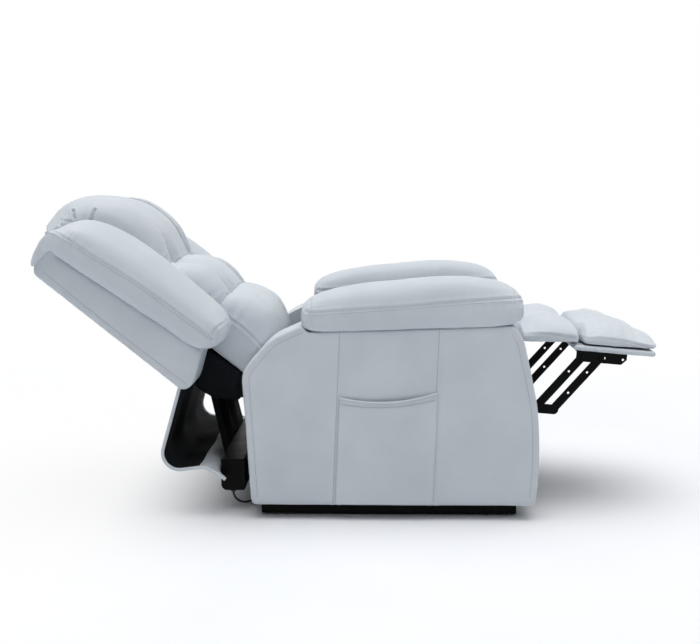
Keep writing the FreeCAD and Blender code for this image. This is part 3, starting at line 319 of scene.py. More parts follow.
@dataclass(frozen=True)
class PaintedSteel:
    """Pressed steel, powder painted black: fine orange peel and a satin shine."""

    name: str = "black_painted_steel"
    colour: str = "020203"
    worn: str = "050606"
    peel_mm: float = 2.4
    patch_mm: float = 45
    roughness: float = 0.4
    specular: float = 0.08

    def material(self) -> Material:
        """Make the finish. Orange peel of about 1 mm is drawn larger, so that it shows.

        Returns:
            The material.
        """
        # Powder paint is deep black with a weak shine that is patchy where hands have been.
        material, tree, shader, place = blank(self.name)
        peel = add(tree, "TexNoise", {"Vector": place, "Scale": per_metre(self.peel_mm), "Detail": 2})
        patch = add(tree, "TexNoise", {"Vector": place, "Scale": per_metre(self.patch_mm), "Detail": 6})
        colour = add(tree, "ValToRGB", {"Fac": patch},
                     [(0.42, linear(self.colour)), (0.72, linear(self.worn))])
        rough = add(tree, "MapRange", {"Value": patch, "To Min": self.roughness - 0.08,
                                       "To Max": self.roughness + 0.14})
        bump = add(tree, "Bump", {"Height": peel, "Strength": 0.2, "Distance": 0.25 * MM})
        plug(shader, {"Base Color": colour, "Roughness": rough, "Normal": bump,
                      "Specular IOR Level": self.specular})
        return material


@dataclass(frozen=True)
class WovenCloth:
    """Plain woven cloth: two crossing sets of threads."""

    name: str
    colour: str
    shade: str
    thread_mm: float = 2.4
    tone_mm: float = 60
    roughness: float = 0.85
    specular: float = 0.2

    def material(self) -> Material:
        """Make the finish. Threads of under 1 mm are drawn wider, so that they show.

        Returns:
            The material.
        """
        # Cloth is matt, and darker between its threads than on them.
        material, tree, shader, place = blank(self.name)
        waves = [add(tree, "TexWave", {"Vector": place, "Scale": bands(self.thread_mm), "Distortion": 0.4,
                                       "Detail": 1}, bands_direction=way) for way in ("Y", "Z")]
        crossing = {k: wave.outputs["Fac"] for k, wave in enumerate(waves)}
        weave = add(tree, "Math", crossing, operation="MULTIPLY")
        tone = add(tree, "TexNoise", {"Vector": place, "Scale": per_metre(self.tone_mm), "Detail": 4})
        mixed = add(tree, "Math", {0: weave, 1: tone}, operation="MULTIPLY")
        colour = add(tree, "ValToRGB", {"Fac": mixed},
                     [(0.05, linear(self.shade)), (0.5, linear(self.colour))])
        bump = add(tree, "Bump", {"Height": weave, "Strength": 0.35, "Distance": 0.5 * MM})
        plug(shader, {"Base Color": colour, "Normal": bump,
                      "Roughness": self.roughness, "Specular IOR Level": self.specular})
        return material


@dataclass(frozen=True)
class MouldedPlastic:
    """Injection-moulded ABS with a spark-eroded texture."""

    name: str
    colour: str
    shade: str
    grit_mm: float = 1.6
    tone_mm: float = 35
    roughness: float = 0.5

    def material(self) -> Material:
        """Make the finish.

        Returns:
            The material.
        """
        # The eroded mould leaves a fine grit that spreads the highlight.
        material, tree, shader, place = blank(self.name)
        grit = add(tree, "TexNoise", {"Vector": place, "Scale": per_metre(self.grit_mm), "Detail": 3})
        tone = add(tree, "TexNoise", {"Vector": place, "Scale": per_metre(self.tone_mm), "Detail": 3})
        colour = add(tree, "ValToRGB", {"Fac": tone},
                     [(0.35, linear(self.shade)), (0.7, linear(self.colour))])
        rough = add(tree, "MapRange", {"Value": grit, "To Min": self.roughness - 0.1,
                                       "To Max": self.roughness + 0.12})
        bump = add(tree, "Bump", {"Height": grit, "Strength": 0.25, "Distance": 0.2 * MM})
        plug(shader, {"Base Color": colour, "Roughness": rough, "Normal": bump})
        return material


@dataclass(frozen=True)
class GroundSteel:
    """Bright steel, ground along its length: fine lengthwise scratches."""

    name: str = "ground_steel"
    colour: str = "C9CBCD"
    scratch_mm: float = 1.2
    stretch: Triple = (0.03, 1, 1)
    roughness: float = 0.24

    def material(self) -> Material:
        """Make the finish.

        Returns:
            The material.
        """
        # Grinding lines draw the reflections out across the rod.
        material, tree, shader, place = blank(self.name)
        along = add(tree, "Mapping", {"Vector": place, "Scale": self.stretch})
        lines = add(tree, "TexNoise", {"Vector": along, "Scale": per_metre(self.scratch_mm),
                                       "Detail": 4})
        rough = add(tree, "MapRange", {"Value": lines, "To Min": self.roughness - 0.08,
                                       "To Max": self.roughness + 0.16})
        bump = add(tree, "Bump", {"Height": lines, "Strength": 0.12, "Distance": 0.1 * MM})
        plug(shader, {"Base Color": linear(self.colour), "Metallic": 1, "Roughness": rough, "Normal": bump})
        return material


@dataclass(frozen=True)
class SawnBoard:
    """Raw sawn board: long grain lines and a dull surface."""

    name: str = "sawn_board"
    colour: str = "C9A878"
    shade: str = "A37F50"
    grain_mm: float = 9
    stretch: Triple = (0.08, 1, 1)
    roughness: float = 0.75

    def material(self) -> Material:
        """Make the finish.

        Returns:
            The material.
        """
        # Unsealed wood has no shine, and its grain shows as long darker lines.
        material, tree, shader, place = blank(self.name)
        along = add(tree, "Mapping", {"Vector": place, "Scale": self.stretch})
        rings = add(tree, "TexNoise", {"Vector": along, "Scale": per_metre(self.grain_mm),
                                       "Detail": 8, "Distortion": 1.2})
        colour = add(tree, "ValToRGB", {"Fac": rings},
                     [(0.3, linear(self.shade)), (0.65, linear(self.colour))])
        bump = add(tree, "Bump", {"Height": rings, "Strength": 0.2, "Distance": 0.4 * MM})
        plug(shader, {"Base Color": colour, "Normal": bump, "Roughness": self.roughness})
        return material


@dataclass(frozen=True)
class Thread:
    """Twisted polyester sewing thread, coloured darker than the cover: the extra darkness is painted seam
    shadow.
    """

    name: str = "thread_with_painted_seam_shade"
    # Grey darker than the leather: painted shadow of the seam groove that the thread lies in.
    colour: str = "77828C"
    twist_mm: float = 1.2
    roughness: float = 0.6

    def material(self) -> Material:
        """Make the finish.

        Returns:
            The material.
        """
        # The plies of the twist catch the light in turn.
        material, tree, shader, place = blank(self.name)
        ply = add(tree, "TexWave", {"Vector": place, "Scale": bands(self.twist_mm), "Distortion": 1},
                  bands_direction="DIAGONAL")
        bump = add(tree, "Bump", {"Height": ply.outputs["Fac"], "Strength": 0.3, "Distance": 0.2 * MM})
        plug(shader, {"Base Color": linear(self.colour), "Normal": bump, "Roughness": self.roughness})
        return material


@dataclass
class Finishes:
    """Every material of the chair, made once."""

    leather: Material = field(default_factory=CoatedLeather().material)
    steel: Material = field(default_factory=PaintedSteel().material)
    cloth: Material = field(default_factory=WovenCloth("black_cambric", "0D141C", "060A0F").material)
    lining: Material = field(
        default_factory=WovenCloth("black_lining", "131A21", "090D12", thread_mm=3).material)
    webbing: Material = field(
        default_factory=WovenCloth("elastic_webbing", "34373C", "191B1E", thread_mm=4).material)
    plastic: Material = field(default_factory=MouldedPlastic("black_abs", "17181A", "0D0E0F").material)
    sheath: Material = field(
        default_factory=MouldedPlastic("cable_sheath", "121314", "0B0C0C", roughness=0.45).material)
    bright: Material = field(default_factory=GroundSteel().material)
    board: Material = field(default_factory=SawnBoard().material)
    # The stitches' dark grey is painted seam shadow.
    thread: Material = field(default_factory=Thread().material)


# Mesh work


def pick(obj: Piece) -> None:
    """Select one object alone and make it active.

    Args:
        obj: the object.
    """
    bpy.ops.object.select_all(action="DESELECT")
    obj.select_set(True)
    bpy.context.view_layer.objects.active = obj


def modify(obj: Piece, kind: str, **settings: object) -> None:
    """Add a modifier and apply it.

    Args:
        obj: the piece.
        kind: the modifier's type.
        settings: its properties.
    """
    modifier = obj.modifiers.new(kind.title(), kind)
    for name, value in settings.items():
        setattr(modifier, name, value)
    pick(obj)
    bpy.ops.object.modifier_apply(modifier=modifier.name)


def edit(obj: Piece, operator: Callable[..., object], **settings: object) -> None:
    """Run a mesh operator on the whole of a piece, in edit mode.

    Args:
        obj: the piece.
        operator: one of bpy.ops.mesh.
        settings: what it is called with.
    """
    pick(obj)
    bpy.ops.object.mode_set(mode="EDIT")
    bpy.ops.mesh.select_all(action="SELECT")
    operator(**settings)
    bpy.ops.object.mode_set(mode="OBJECT")


def evened(obj: Piece, voxel: float, rounds: int) -> None:
    """Remake a piece's faces at an even size in millimetres, and smooth it in so many rounds."""
    modify(obj, "REMESH", mode="VOXEL", voxel_size=voxel * MM)
    modify(obj, "SMOOTH", factor=0.5, iterations=rounds)


def divided(obj: Piece) -> None:
    """Divide each face of a piece in four, on a smooth surface."""
    modify(obj, "SUBSURF", levels=1, render_levels=1)


def dress(obj: Piece, *materials: Material) -> Piece:
    """Give a piece its materials and smooth faces.

    Args:
        obj: the piece.
        materials: one for each of its slots.

    Returns:
        The piece.
    """
    obj.data.materials.clear()
    for material in materials:
        obj.data.materials.append(material)
    obj.data.shade_smooth()
    return obj


def points_of(obj: Piece) -> Array:
    """Read a mesh's vertex places.

    Args:
        obj: the piece.

    Returns:
        One row for each vertex, in metres.
    """
    places = np.zeros(len(obj.data.vertices) * 3)
    obj.data.vertices.foreach_get("co", places)
    return places.reshape(-1, 3)


def normals_of(obj: Piece) -> Array:
    """Read a mesh's vertex normals.

    Args:
        obj: the piece.

    Returns:
        One row for each vertex.
    """
    ways = np.zeros(len(obj.data.vertices) * 3)
    obj.data.vertex_normals.foreach_get("vector", ways)
    return ways.reshape(-1, 3)


def put_points(obj: Piece, places: Array) -> None:
    """Move the mesh's vertices to these places."""
    obj.data.vertices.foreach_set("co", places.ravel())
    obj.data.update()


def in_scene(name: str, data: bpy.types.ID) -> Piece:
    """Put a new object in the scene.

    Args:
        name: the object's name.
        data: its mesh, curve, lamp or camera.

    Returns:
        The new object.
    """
    obj = bpy.data.objects.new(name, data)
    bpy.context.scene.collection.objects.link(obj)
    return obj


def copy_of(layout: Layout, node: str, name: str) -> Piece:
    """Copy a frame node's mesh to a new piece, with its loose triangles joined.

    Args:
        layout: the frame.
        node: which node.
        name: the piece's name.

    Returns:
        The new object.
    """
    mesh = layout.frame["nodes"][node].data.copy()
    mesh.name = name
    mesh.materials.clear()
    obj = in_scene(name, mesh)
    edit(obj, bpy.ops.mesh.remove_doubles, threshold=0.02 * MM)
    return obj


def mirrored(obj: Piece, name: str) -> Piece:
    """Make a twin of a piece on the chair's other side, with its own mesh.

    Args:
        obj: the piece.
        name: the twin's name.

    Returns:
        The twin.
    """
    twin = in_scene(name, obj.data.copy())
    places = points_of(twin)
    places[:, 1] *= -1
    put_points(twin, places)
    edit(twin, bpy.ops.mesh.flip_normals)
    return twin


def joined(pieces: Sequence[Piece], name: str) -> Piece:
    """Join pieces into one.

    Args:
        pieces: what is joined.
        name: the name of the whole.

    Returns:
        The first piece, which now holds them all.
    """
    bpy.ops.object.select_all(action="DESELECT")
    for piece in pieces:
        piece.select_set(True)
    bpy.context.view_layer.objects.active = pieces[0]
    if len(pieces) > 1:
        bpy.ops.object.join()
    pieces[0].name = name
    return pieces[0]


def settle(obj: Piece, body: str, slot: str, *nodes: str) -> None:
    """Ride a finished piece on a body.

    Args:
        obj: the piece.
        body: the body that carries it.
        slot: a material slot's name; not used.
        nodes: the frame's nodes that it stands for.
    """
    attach(obj, body)
    if nodes:
        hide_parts(*nodes)
    LOG.info("%s on %s, %d faces", obj.name, body, len(obj.data.polygons))


def upholster(obj: Piece, cover: Material, body: str, node: str) -> None:
    """Cover a padded piece, and put it in a node's place.

    Args:
        obj: the piece.
        cover: its leather.
        body: the body that carries it.
        node: the frame's node that it stands for.
    """
    dress(obj, cover)
    settle(obj, body, "upholstery", node)


def rising(values: Array, start: float, span: float, least: float = 0) -> Array:
    """From least at start up to 1 at a span beyond it."""
    return np.clip((values - start) / span, least, 1)


def falling(values: Array, end: float, span: float, least: float = 0) -> Array:
    """From 1 at a span before end down to least at end."""
    return np.clip((end - values) / span, least, 1)


def run_along(line: Array) -> Array:
    """How far along a line each of its points is."""
    return np.concatenate([[0], np.cumsum(np.linalg.norm(np.diff(line, axis=0), axis=1))])


def line_through(points: Sequence[Sequence[float]], step: float = 4) -> Array:
    """A smooth line through points, sampled about every step.

    Args:
        points: two or three numbers each, in millimetres.
        step: distance between samples.

    Returns:
        One row for each sample.
    """
    given = np.array(points, float)
    padded = np.vstack([2 * given[0] - given[1], given, 2 * given[-1] - given[-2]])
    samples = []
    for i in range(len(given) - 1):
        p0, p1, p2, p3 = padded[i:i + 4]
        count = max(1, int(np.linalg.norm(p2 - p1) / step))
        for k in range(count):
            u = k / count
            samples.append(0.5 * (2 * p1 + (p2 - p0) * u + (2 * p0 - 5 * p1 + 4 * p2 - p3) * u ** 2
                                  + (3 * p1 - p0 - 3 * p2 + p3) * u ** 3))
    samples.append(given[-1])
    return np.array(samples)


def rounded(points: Sequence[Triple], step: float = 6, closed: bool = True) -> Array:
    """An outline with rounded corners.

    Args:
        points: the two numbers of each corner, and its radius.
        step: distance between samples, in millimetres.
        closed: whether it runs back to its start.

    Returns:
        One row for each sample.
    """
    given = [np.array(p[:2], float) for p in points]
    count = len(given)
    line: list[Array] = []
    for i in range(count):
        radius = points[i][2]
        if radius == 0 or (not closed and i in (0, count - 1)):
            line.append(given[i])
            continue
        before = given[i - 1] - given[i]
        after = given[(i + 1) % count] - given[i]
        before, after = before / np.linalg.norm(before), after / np.linalg.norm(after)
        half = math.acos(float(np.clip(before @ after, -1, 1))) / 2
        reach = radius / math.tan(half)
        middle = (before + after) / np.linalg.norm(before + after)
        centre = given[i] + middle * radius / math.sin(half)
        start, end = given[i] + before * reach - centre, given[i] + after * reach - centre
        turn = math.acos(float(np.clip(start @ end / radius ** 2, -1, 1)))
        pieces = max(2, int(radius * turn / step))
        for k in range(pieces + 1):
            u = k / pieces
            blend = (start * math.sin((1 - u) * turn) + end * math.sin(u * turn)) / math.sin(turn)
            line.append(centre + blend)
    if closed:
        line.append(line[0])
    dense = [line[0]]
    for p, q in zip(line, line[1:]):
        parts = max(1, int(np.linalg.norm(q - p) / step))
        dense += [p + (q - p) * (k + 1) / parts for k in range(parts)]
    return np.array(dense)


@dataclass(frozen=True)
class Caster:
    """Casts lines of a flat drawing on to a piece's surface.

    Args:
        place: turns the drawing's two numbers to a place in the frame.
        ray: the way in which the line is cast.
        reach: how far away, in metres, the cast starts.
    """

    place: Callable[[float, float], Vector]
    ray: Vector
    reach: float

    def on(self, obj: Piece, line: Array, lift: float = 0) -> Array:
        """Where the line falls on a piece.

        Args:
            obj: the piece.
            line: the drawing's line.
            lift: metres above the surface.

        Returns:
            One row for each sample that met the surface.
        """
        obj.data.update()
        bpy.context.view_layer.update()
        found = []
        for a, b in line:
            met, hit, normal, _ = obj.ray_cast(self.place(a, b) - self.ray * self.reach, self.ray,
                                               distance=2 * self.reach)
            if met:
                found.append(hit + normal * lift)
        return np.array(found).reshape(-1, 3)


def nearest_on(line: Array, places: Array, margin: float = 0.12,
               batch: int = 4000) -> tuple[Array, Array]:
    """Measure places against a sampled line, in metres.

    Args:
        line: the line's samples.
        places: what is measured.
        margin: how far round the line's box places are measured at all.
        batch: how many are measured at once.

    Returns:
        Each place's distance from the line, and how far along it the nearest sample is.
    """
    along = run_along(line)
    distance = np.full(len(places), 1e9)
    run = np.zeros(len(places))
    low, high = line.min(0) - margin, line.max(0) + margin
    near = np.where(((places > low) & (places < high)).all(1))[0]
    for start in range(0, len(near), batch):
        rows = near[start:start + batch]
        gaps = np.linalg.norm(places[rows, None, :] - line[None, :, :], axis=2)
        best = gaps.argmin(1)
        distance[rows] = gaps[np.arange(len(rows)), best]
        run[rows] = along[best]
    return distance, run


@dataclass(frozen=True)
class Seam:
    """How a seam or a crease shows in the cover. Sizes in millimetres.

    Args:
        depth: how far it draws the cover in.
        width: half the width of its groove.
        puff: how much of the depth the cover rises beside it.
        gather: height of the small pleats that run away from it.
        pitch: distance between those pleats.
        reach: how far they run.
    """

    depth: float = 0
    width: float = 3
    puff: float = 0.35
    gather: float = 0
    pitch: float = 30
    reach: float = 24


class Sculptor:
    """Moves a piece's vertices along their normals for seams, dimples and slack. Sizes in millimetres."""

    # Beside a seam the cover is highest at puff_at, over puff_width, both in widths of its groove.
    # Its gathers start at flat_beside.
    puff_at = 2.4
    puff_width = 1.3
    flat_beside = 4

    def __init__(self, obj: Piece) -> None:
        """Start on a piece as it is.

        Args:
            obj: the piece.
        """
        self.obj = obj
        self.places = points_of(obj)
        self.normals = normals_of(obj)
        self.rise = np.zeros(len(self.places))

    def seam(self, line: Array, seam: Seam, seed: float = 0, gathered: Array | None = None) -> "Sculptor":
        """Draw the surface in along a line, puff it out on both sides, and gather it.

        Args:
            line: where the seam runs.
            seam: how it shows.
            seed: which of the many runs of gathers it gets.
            gathered: the part of the line that has gathers, where that isn't the whole.

        Returns:
            This sculptor.
        """
        if len(line) > 1 and seam.depth:
            gap = nearest_on(line, self.places)[0] / MM
            self.rise -= seam.depth * MM * np.exp(-(gap / seam.width) ** 2)
            beside = (gap - self.puff_at * seam.width) / (self.puff_width * seam.width)
            self.rise += seam.depth * seam.puff * MM * np.exp(-beside ** 2)
        pleated = line if gathered is None else gathered
        if len(pleated) > 1 and seam.gather:
            gap, run = nearest_on(pleated, self.places)
            gap, run = gap / MM, run / MM
            wander = np.array([noise.noise(Vector((r / (2.3 * seam.pitch), seed, 0))) for r in run])
            wave = np.cos(TURN * run / seam.pitch + 4 * wander)
            fade = np.exp(-gap / seam.reach) * (1 - np.exp(-(gap / self.flat_beside) ** 2))
            self.rise += seam.gather * MM * wave * fade * (0.6 + 0.8 * wander)
        return self

    def dimple(self, centre: Vector, depth: float, radius: float, folds: int, height: float) -> "Sculptor":
        """Pull the surface in at a point, with folds that run out from it.

        Args:
            centre: the point.
            depth: how far it is pulled in.
            radius: how wide the dimple is.
            folds: how many folds.
            height: how high they are.

        Returns:
            This sculptor.
        """
        away = self.places - np.array(centre)
        gap = np.linalg.norm(away, axis=1) / MM
        self.rise -= depth * MM * np.exp(-(gap / radius) ** 2)
        up = Vector(self.normals[int(gap.argmin())])
        side = up.orthogonal().normalized()
        angle = np.arctan2(away @ np.array(up.cross(side)), away @ np.array(side))
        fade = np.exp(-gap / (1.4 * radius)) * (1 - np.exp(-(gap / (0.4 * radius)) ** 2))
        self.rise += height * MM * np.cos(folds * angle + 0.7) * fade
        return self

    def slack(self, *layers: Triple) -> "Sculptor":
        """Let the cover lie a little uneven.

        Args:
            layers: height, size across and seed of each unevenness.

        Returns:
            This sculptor.
        """
        for height, size, seed in layers:
            scaled = self.places / (size * MM) + seed
            self.rise += height * MM * np.array([noise.noise(Vector(p)) for p in scaled])
        return self

    def done(self) -> None:
        """Move the vertices."""
        put_points(self.obj, self.places + self.normals * self.rise[:, None])


@dataclass(frozen=True)
class Stuffing:
    """How a padded piece is made from its plain form. Sizes in millimetres.

    Args:
        voxel: size of its first faces.
        inset: how much smaller it starts.
        cap: how far the filling may push it out.
        smooth: rounds of smoothing before it is filled.
        pressure: how hard the filling pushes.
        frames: how long it pushes.
        pinned: how far from a seam the cover is still held, in faces.
    """

    voxel: float = 6
    inset: float = 4
    cap: float = 9
    smooth: int = 8
    pressure: float = 4
    frames: int = 18
    pinned: float = 1.6

    def plain(self, layout: Layout, node: str, name: str, ease: Ease | None = None) -> Piece:
        """The node's form in even faces, a little smaller than the node.

        Args:
            layout: the frame.
            node: which node.
            name: the piece's name.
            ease: moves drawn places (one row each, in millimetres) to where the cover stretches or settles.

        Returns:
            The new object.
        """
        obj = copy_of(layout, node, name)
        evened(obj, self.voxel, self.smooth)
        if ease:
            put_points(obj, layout.framed(ease(layout.drawn(points_of(obj)))))
        put_points(obj, points_of(obj) - normals_of(obj) * self.inset * MM)
        return obj

    def filled(self, obj: Piece, seams: Sequence[Array], hold: Array) -> None:
        """Fill the piece by a cloth run that its seams hold down, then smooth and divide it.

        Args:
            obj: the plain form.
            seams: lines of places that stay where they are.
            hold: true for each vertex that rests on something.
        """
        start = points_of(obj)
        held = np.zeros(len(start))
        for seam in seams:
            if len(seam) > 1:
                gap, _ = nearest_on(seam, start)
                held = np.maximum(held, np.clip(self.pinned - gap / (self.voxel * MM), 0, 1))
        held[hold] = 1
        self.simulate(obj, held)
        moved = points_of(obj) - start
        length = np.linalg.norm(moved, axis=1)
        cap = self.cap * MM
        least = 1e-7
        share = np.where(length > least, cap * np.tanh(length / cap) / np.maximum(length, least), 1)
        put_points(obj, start + moved * share[:, None])
        modify(obj, "SMOOTH", factor=0.5, iterations=2)
        divided(obj)

    def simulate(self, obj: Piece, held: Array) -> None:
        """Run the cloth and apply it.

        Args:
            obj: the plain form.
            held: how firmly each vertex is held, from 0 to 1.
        """
        group = obj.vertex_groups.new(name="held")
        for level in np.unique(np.round(held, 1)):
            if level > 0:
                group.add(np.where(np.round(held, 1) == level)[0].tolist(), float(level), "REPLACE")
        cloth = obj.modifiers.new("Cloth", "CLOTH")
        cloth.settings.quality = 4
        cloth.settings.mass = 0.3
        cloth.settings.use_pressure = True
        cloth.settings.uniform_pressure_force = self.pressure
        cloth.settings.vertex_group_mass = "held"
        cloth.settings.effector_weights.gravity = 0
        cloth.collision_settings.use_collision = False
        cloth.point_cache.frame_end = self.frames
        for frame in range(1, self.frames + 1):
            bpy.context.scene.frame_set(frame)
        pick(obj)
        bpy.ops.object.modifier_apply(modifier=cloth.name)
        obj.vertex_groups.clear()
        bpy.context.scene.frame_set(1)


@dataclass(frozen=True)
class Sewing:
    """Sewing machine settings, in millimetres."""

    pitch: float = 5
    stitch: float = 3.6
    thick: float = 0.7

    def row(self, line: Array, name: str) -> Piece:
        """Sew one row: a rounded stitch, repeated and bent along a line.

        Args:
            line: the places that it runs through.
            name: the row's name.

        Returns:
            The new object.
        """
        path = self.curve(line, name + "_path")
        bpy.ops.object.select_all(action="DESELECT")
        bpy.ops.mesh.primitive_uv_sphere_add(segments=6, ring_count=4, radius=1, rotation=(0, math.pi / 2, 0))
        bead = bpy.context.object
        bead.name = name
        bead.scale = (self.thick * MM, self.thick * MM, self.stitch / 2 * MM)
        bpy.ops.object.transform_apply(location=True, rotation=True, scale=True)
        modify(bead, "ARRAY", fit_type="FIT_CURVE", curve=path, use_relative_offset=False,
               use_constant_offset=True, constant_offset_displace=(self.pitch * MM, 0, 0))
        modify(bead, "CURVE", object=path, deform_axis="POS_X")
        bpy.data.objects.remove(path)
        return bead

    def curve(self, line: Array, name: str, bevel: float = 0) -> Piece:
        """Draw a curve through a line of places.

        Args:
            line: the places.
            name: the curve's name.
            bevel: its radius, where it is round.

        Returns:
            The new object.
        """
        data = bpy.data.curves.new(name, "CURVE")
        data.dimensions = "3D"
        spline = data.splines.new("POLY")
        spline.points.add(len(line) - 1)
        for point, place in zip(spline.points, line):
            point.co = (*place, 1)
        data.bevel_depth = bevel * MM
        data.bevel_resolution = 2
        data.use_fill_caps = bevel > 0
        return in_scene(name, data)

    def roll(self, line: Array, name: str, radius: float) -> Piece:
        """Roll a hem along a line of places, as a mesh.

        Args:
            line: the places.
            name: the hem's name.
            radius: half its thickness.

        Returns:
            The new object.
        """
        pick(self.curve(line, name, radius))
        bpy.ops.object.convert(target="MESH")
        return bpy.context.object


SEWING = Sewing()


def sew(rows: Sequence[Array], name: str, thread: Material) -> Piece:
    """One piece's stitch rows as one object. A row that met too little of the piece is left out."""
    made = [SEWING.row(line, f"{name}_{i}") for i, line in enumerate(rows) if len(line) > 2]
    return dress(joined(made, name), thread)


def outline_block(outline: Array, place: Callable[[float, float, float], Vector], ends: Pair,
                  name: str) -> Piece:
    """A block of this outline, from a ring that is filled and drawn out.

    Args:
        outline: two numbers each, not closed.
        place: turns the outline's two numbers and a Y to a place.
        ends: the Y where it starts and the Y where it ends.
        name: its name.

    Returns:
        The new object.
    """
    bpy.ops.object.select_all(action="DESELECT")
    bpy.ops.mesh.primitive_circle_add(vertices=len(outline), fill_type="NGON")
    obj = bpy.context.object
    obj.name = name
    for vertex, (a, b) in zip(obj.data.vertices, outline):
        vertex.co = place(a, b, ends[0])
    edit(obj, bpy.ops.mesh.extrude_region_move,
         TRANSFORM_OT_translate={"value": (0, (ends[1] - ends[0]) * MM, 0)})
    edit(obj, bpy.ops.mesh.normals_make_consistent, inside=False)
    return obj


def grid_sheet(rows: Array, name: str) -> Piece:
    """A sheet from a grid shaped to places.

    Args:
        rows: places by row, column and axis, in metres.
        name: the sheet's name.

    Returns:
        The new object.
    """
    down, across = rows.shape[:2]
    bpy.ops.object.select_all(action="DESELECT")
    bpy.ops.mesh.primitive_grid_add(x_subdivisions=across - 1, y_subdivisions=down - 1)
    obj = bpy.context.object
    obj.name = name
    put_points(obj, rows.reshape(-1, 3))
    return obj


def lowest(obj: Piece, height: float) -> Array:
    """True for each vertex within a height in millimetres of the piece's lowest point."""
    level = points_of(obj)[:, 2]
    return level < level.min() + height * MM


# Sub-assemblies


@dataclass
class Arms:
    """Arm covers with their seams, side pockets and overstuffed armrests. Sizes in millimetres."""

    layout: Layout
    finish: Finishes
    outer: float = 388
    shape: tuple[Triple, ...] = (
        (-326, 38, 14), (-349, 392, 70), (-272, 481, 140), (-190, 518, 5),
        (-177, 499, 0), (363, 517, 5), (386, 480, 80), (427, 235, 1150),
        (411, 38, 14))
    seams: tuple[tuple[Pair, Pair], ...] = (((-84, 498), (-103, 40)), ((174, 507), (154, 40)))
    panel_sewn: Seam = Seam(depth=1.6, width=3.4, puff=0.6, gather=0.5, pitch=34, reach=24)
    panel_stitch: float = 7
    edge_sewn: Seam = Seam(depth=1.4, width=3.6, puff=0.7, gather=0.4, pitch=40, reach=26)
    edge_inset: float = 15
    edge_stitch: float = 5
    edge_rear: float = -192
    edge_front: float = 340
    edge_low: float = 60
    edge_high: float = 505
    lining_low: float = 44
    lining_inset: float = 3
    lining_faces: Pair = (249.4, 251.6)
    pocket: tuple[Pair, ...] = ((-103, 44), (-91, 326), (36, 316), (164, 340), (153, 44))
    pocket_gap: float = 1.4
    pocket_swell: float = 7.5
    pocket_fold: float = 1.1
    pocket_thick: float = 1.6
    hem_radius: float = 3
    rest_inner: float = 256
    rest_seam: tuple[Pair, ...] = (
        (-178, 551), (-160, 549), (-60, 556), (60, 564), (200, 576), (350, 586),
        (386, 583))
    rest_sewn: Seam = Seam(depth=2.6, width=3.2, puff=0.55, gather=0.7, pitch=26, reach=22)
    rest_stitch: float = 6
    rest_ends: tuple[tuple[Pair, ...], ...] = (
        ((-166, 592), (-168, 550), (-164, 506)), ((366, 622), (361, 592), (357, 520)))
    end_sewn: Seam = Seam(depth=2, width=3, puff=0.4, gather=1.6, pitch=15, reach=20)

    def build(self) -> None:
        """Make the left side's pieces and mirror them to the right."""
        cover, threads = self.cover()
        pocket, rows, hem, hem_threads = self.pocket_sheet()
        rest, rest_threads = self.armrest()
        left = {"arm_panel": cover, "arm_panel_stitching": threads, "side_pocket": pocket,
                "side_pocket_hem": hem, "side_pocket_stitching": hem_threads, "armrest_pad": rest,
                "armrest_stitching": rest_threads, "arm_lining": self.lining()}
        stands_for = {"arm_panel": "arm_cover_", "side_pocket": "arm_pocket_", "armrest_pad": "armrest_"}
        for side in Side:
            word = side.word
            made = {name: obj if side is Side.LEFT else mirrored(obj, f"{name}_{word}")
                    for name, obj in left.items()}
            for name, obj in made.items():
                obj.name = f"{name}_{word}"
                nodes = [stands_for[name] + word] if name in stands_for else []
                settle(obj, "carriage", "upholstery", *nodes)

    def lining(self) -> Piece:
        """Make the cover's inner panel over the arm board, above the seat.

        Returns:
            The left panel.
        """
        outline = self.moved_in(rounded(self.shape), rounded(self.shape), self.lining_inset)[:-1]
        above = np.array([p for p in outline if p[1] > self.lining_low])
        obj = outline_block(above, self.layout.side, self.lining_faces, "arm_lining_left")
        modify(obj, "BEVEL", width=0.8 * MM, segments=2, angle_limit=math.radians(50))
        dress(obj, self.finish.leather)
        obj.data.shade_flat()
        return obj

    def side_caster(self) -> Caster:
        """Casts the side view on to the left side from outside."""
        return Caster(lambda x, z: self.layout.at(x, self.outer, z), Vector((0, -1, 0)), 0.3)

    def cover(self) -> tuple[Piece, Piece]:
        """Make the arm's thinly padded cover.

        Returns:
            The left cover and its stitches.
        """
        stuffing = Stuffing(voxel=5.5, inset=1, smooth=3)
        obj = stuffing.plain(self.layout, "arm_cover_left", "arm_panel_left", self.front_swell)
        cast = self.side_caster()
        upright = [line_through(seam) for seam in self.seams]
        outline = rounded(self.shape)
        edges = self.inset_edges(outline)
        lifted = np.column_stack([edges[1][:, 0], np.zeros(len(edges[1])), edges[1][:, 1]])
        edges[1] = self.front_swell(lifted)[:, [0, 2]]
        on_panel = [cast.on(obj, line) for line in upright]
        on_edge = [cast.on(obj, line) for line in edges]
        sculpt = Sculptor(obj)
        for line in on_panel:
            sculpt.seam(line, self.panel_sewn, 1)
        for line in on_edge:
            sculpt.seam(line, self.edge_sewn, 5)
        sculpt.slack((1.5, 210, 2), (0.5, 70, 9)).done()
        rows = [cast.on(obj, line - (self.panel_stitch, 0), THREAD_LIFT) for line in upright]
        rows += [cast.on(obj, self.moved_in(line, outline, self.edge_stitch), THREAD_LIFT) for line in edges]
        dress(obj, self.finish.leather)
        return obj, sew(rows, "arm_panel_stitching_left", self.finish.thread)

    @staticmethod
    def front_swell(drawn: Array) -> Array:
        """Fill the arm's front out towards its foot.

        Args:
            drawn: the cover's drawn places.

        Returns:
            Where they move to.
        """
        swell = 13
        moved = drawn.copy()
        moved[:, 0] += swell * (rising(drawn[:, 0], 250, 150) * falling(drawn[:, 2], 500, 200))
        return moved

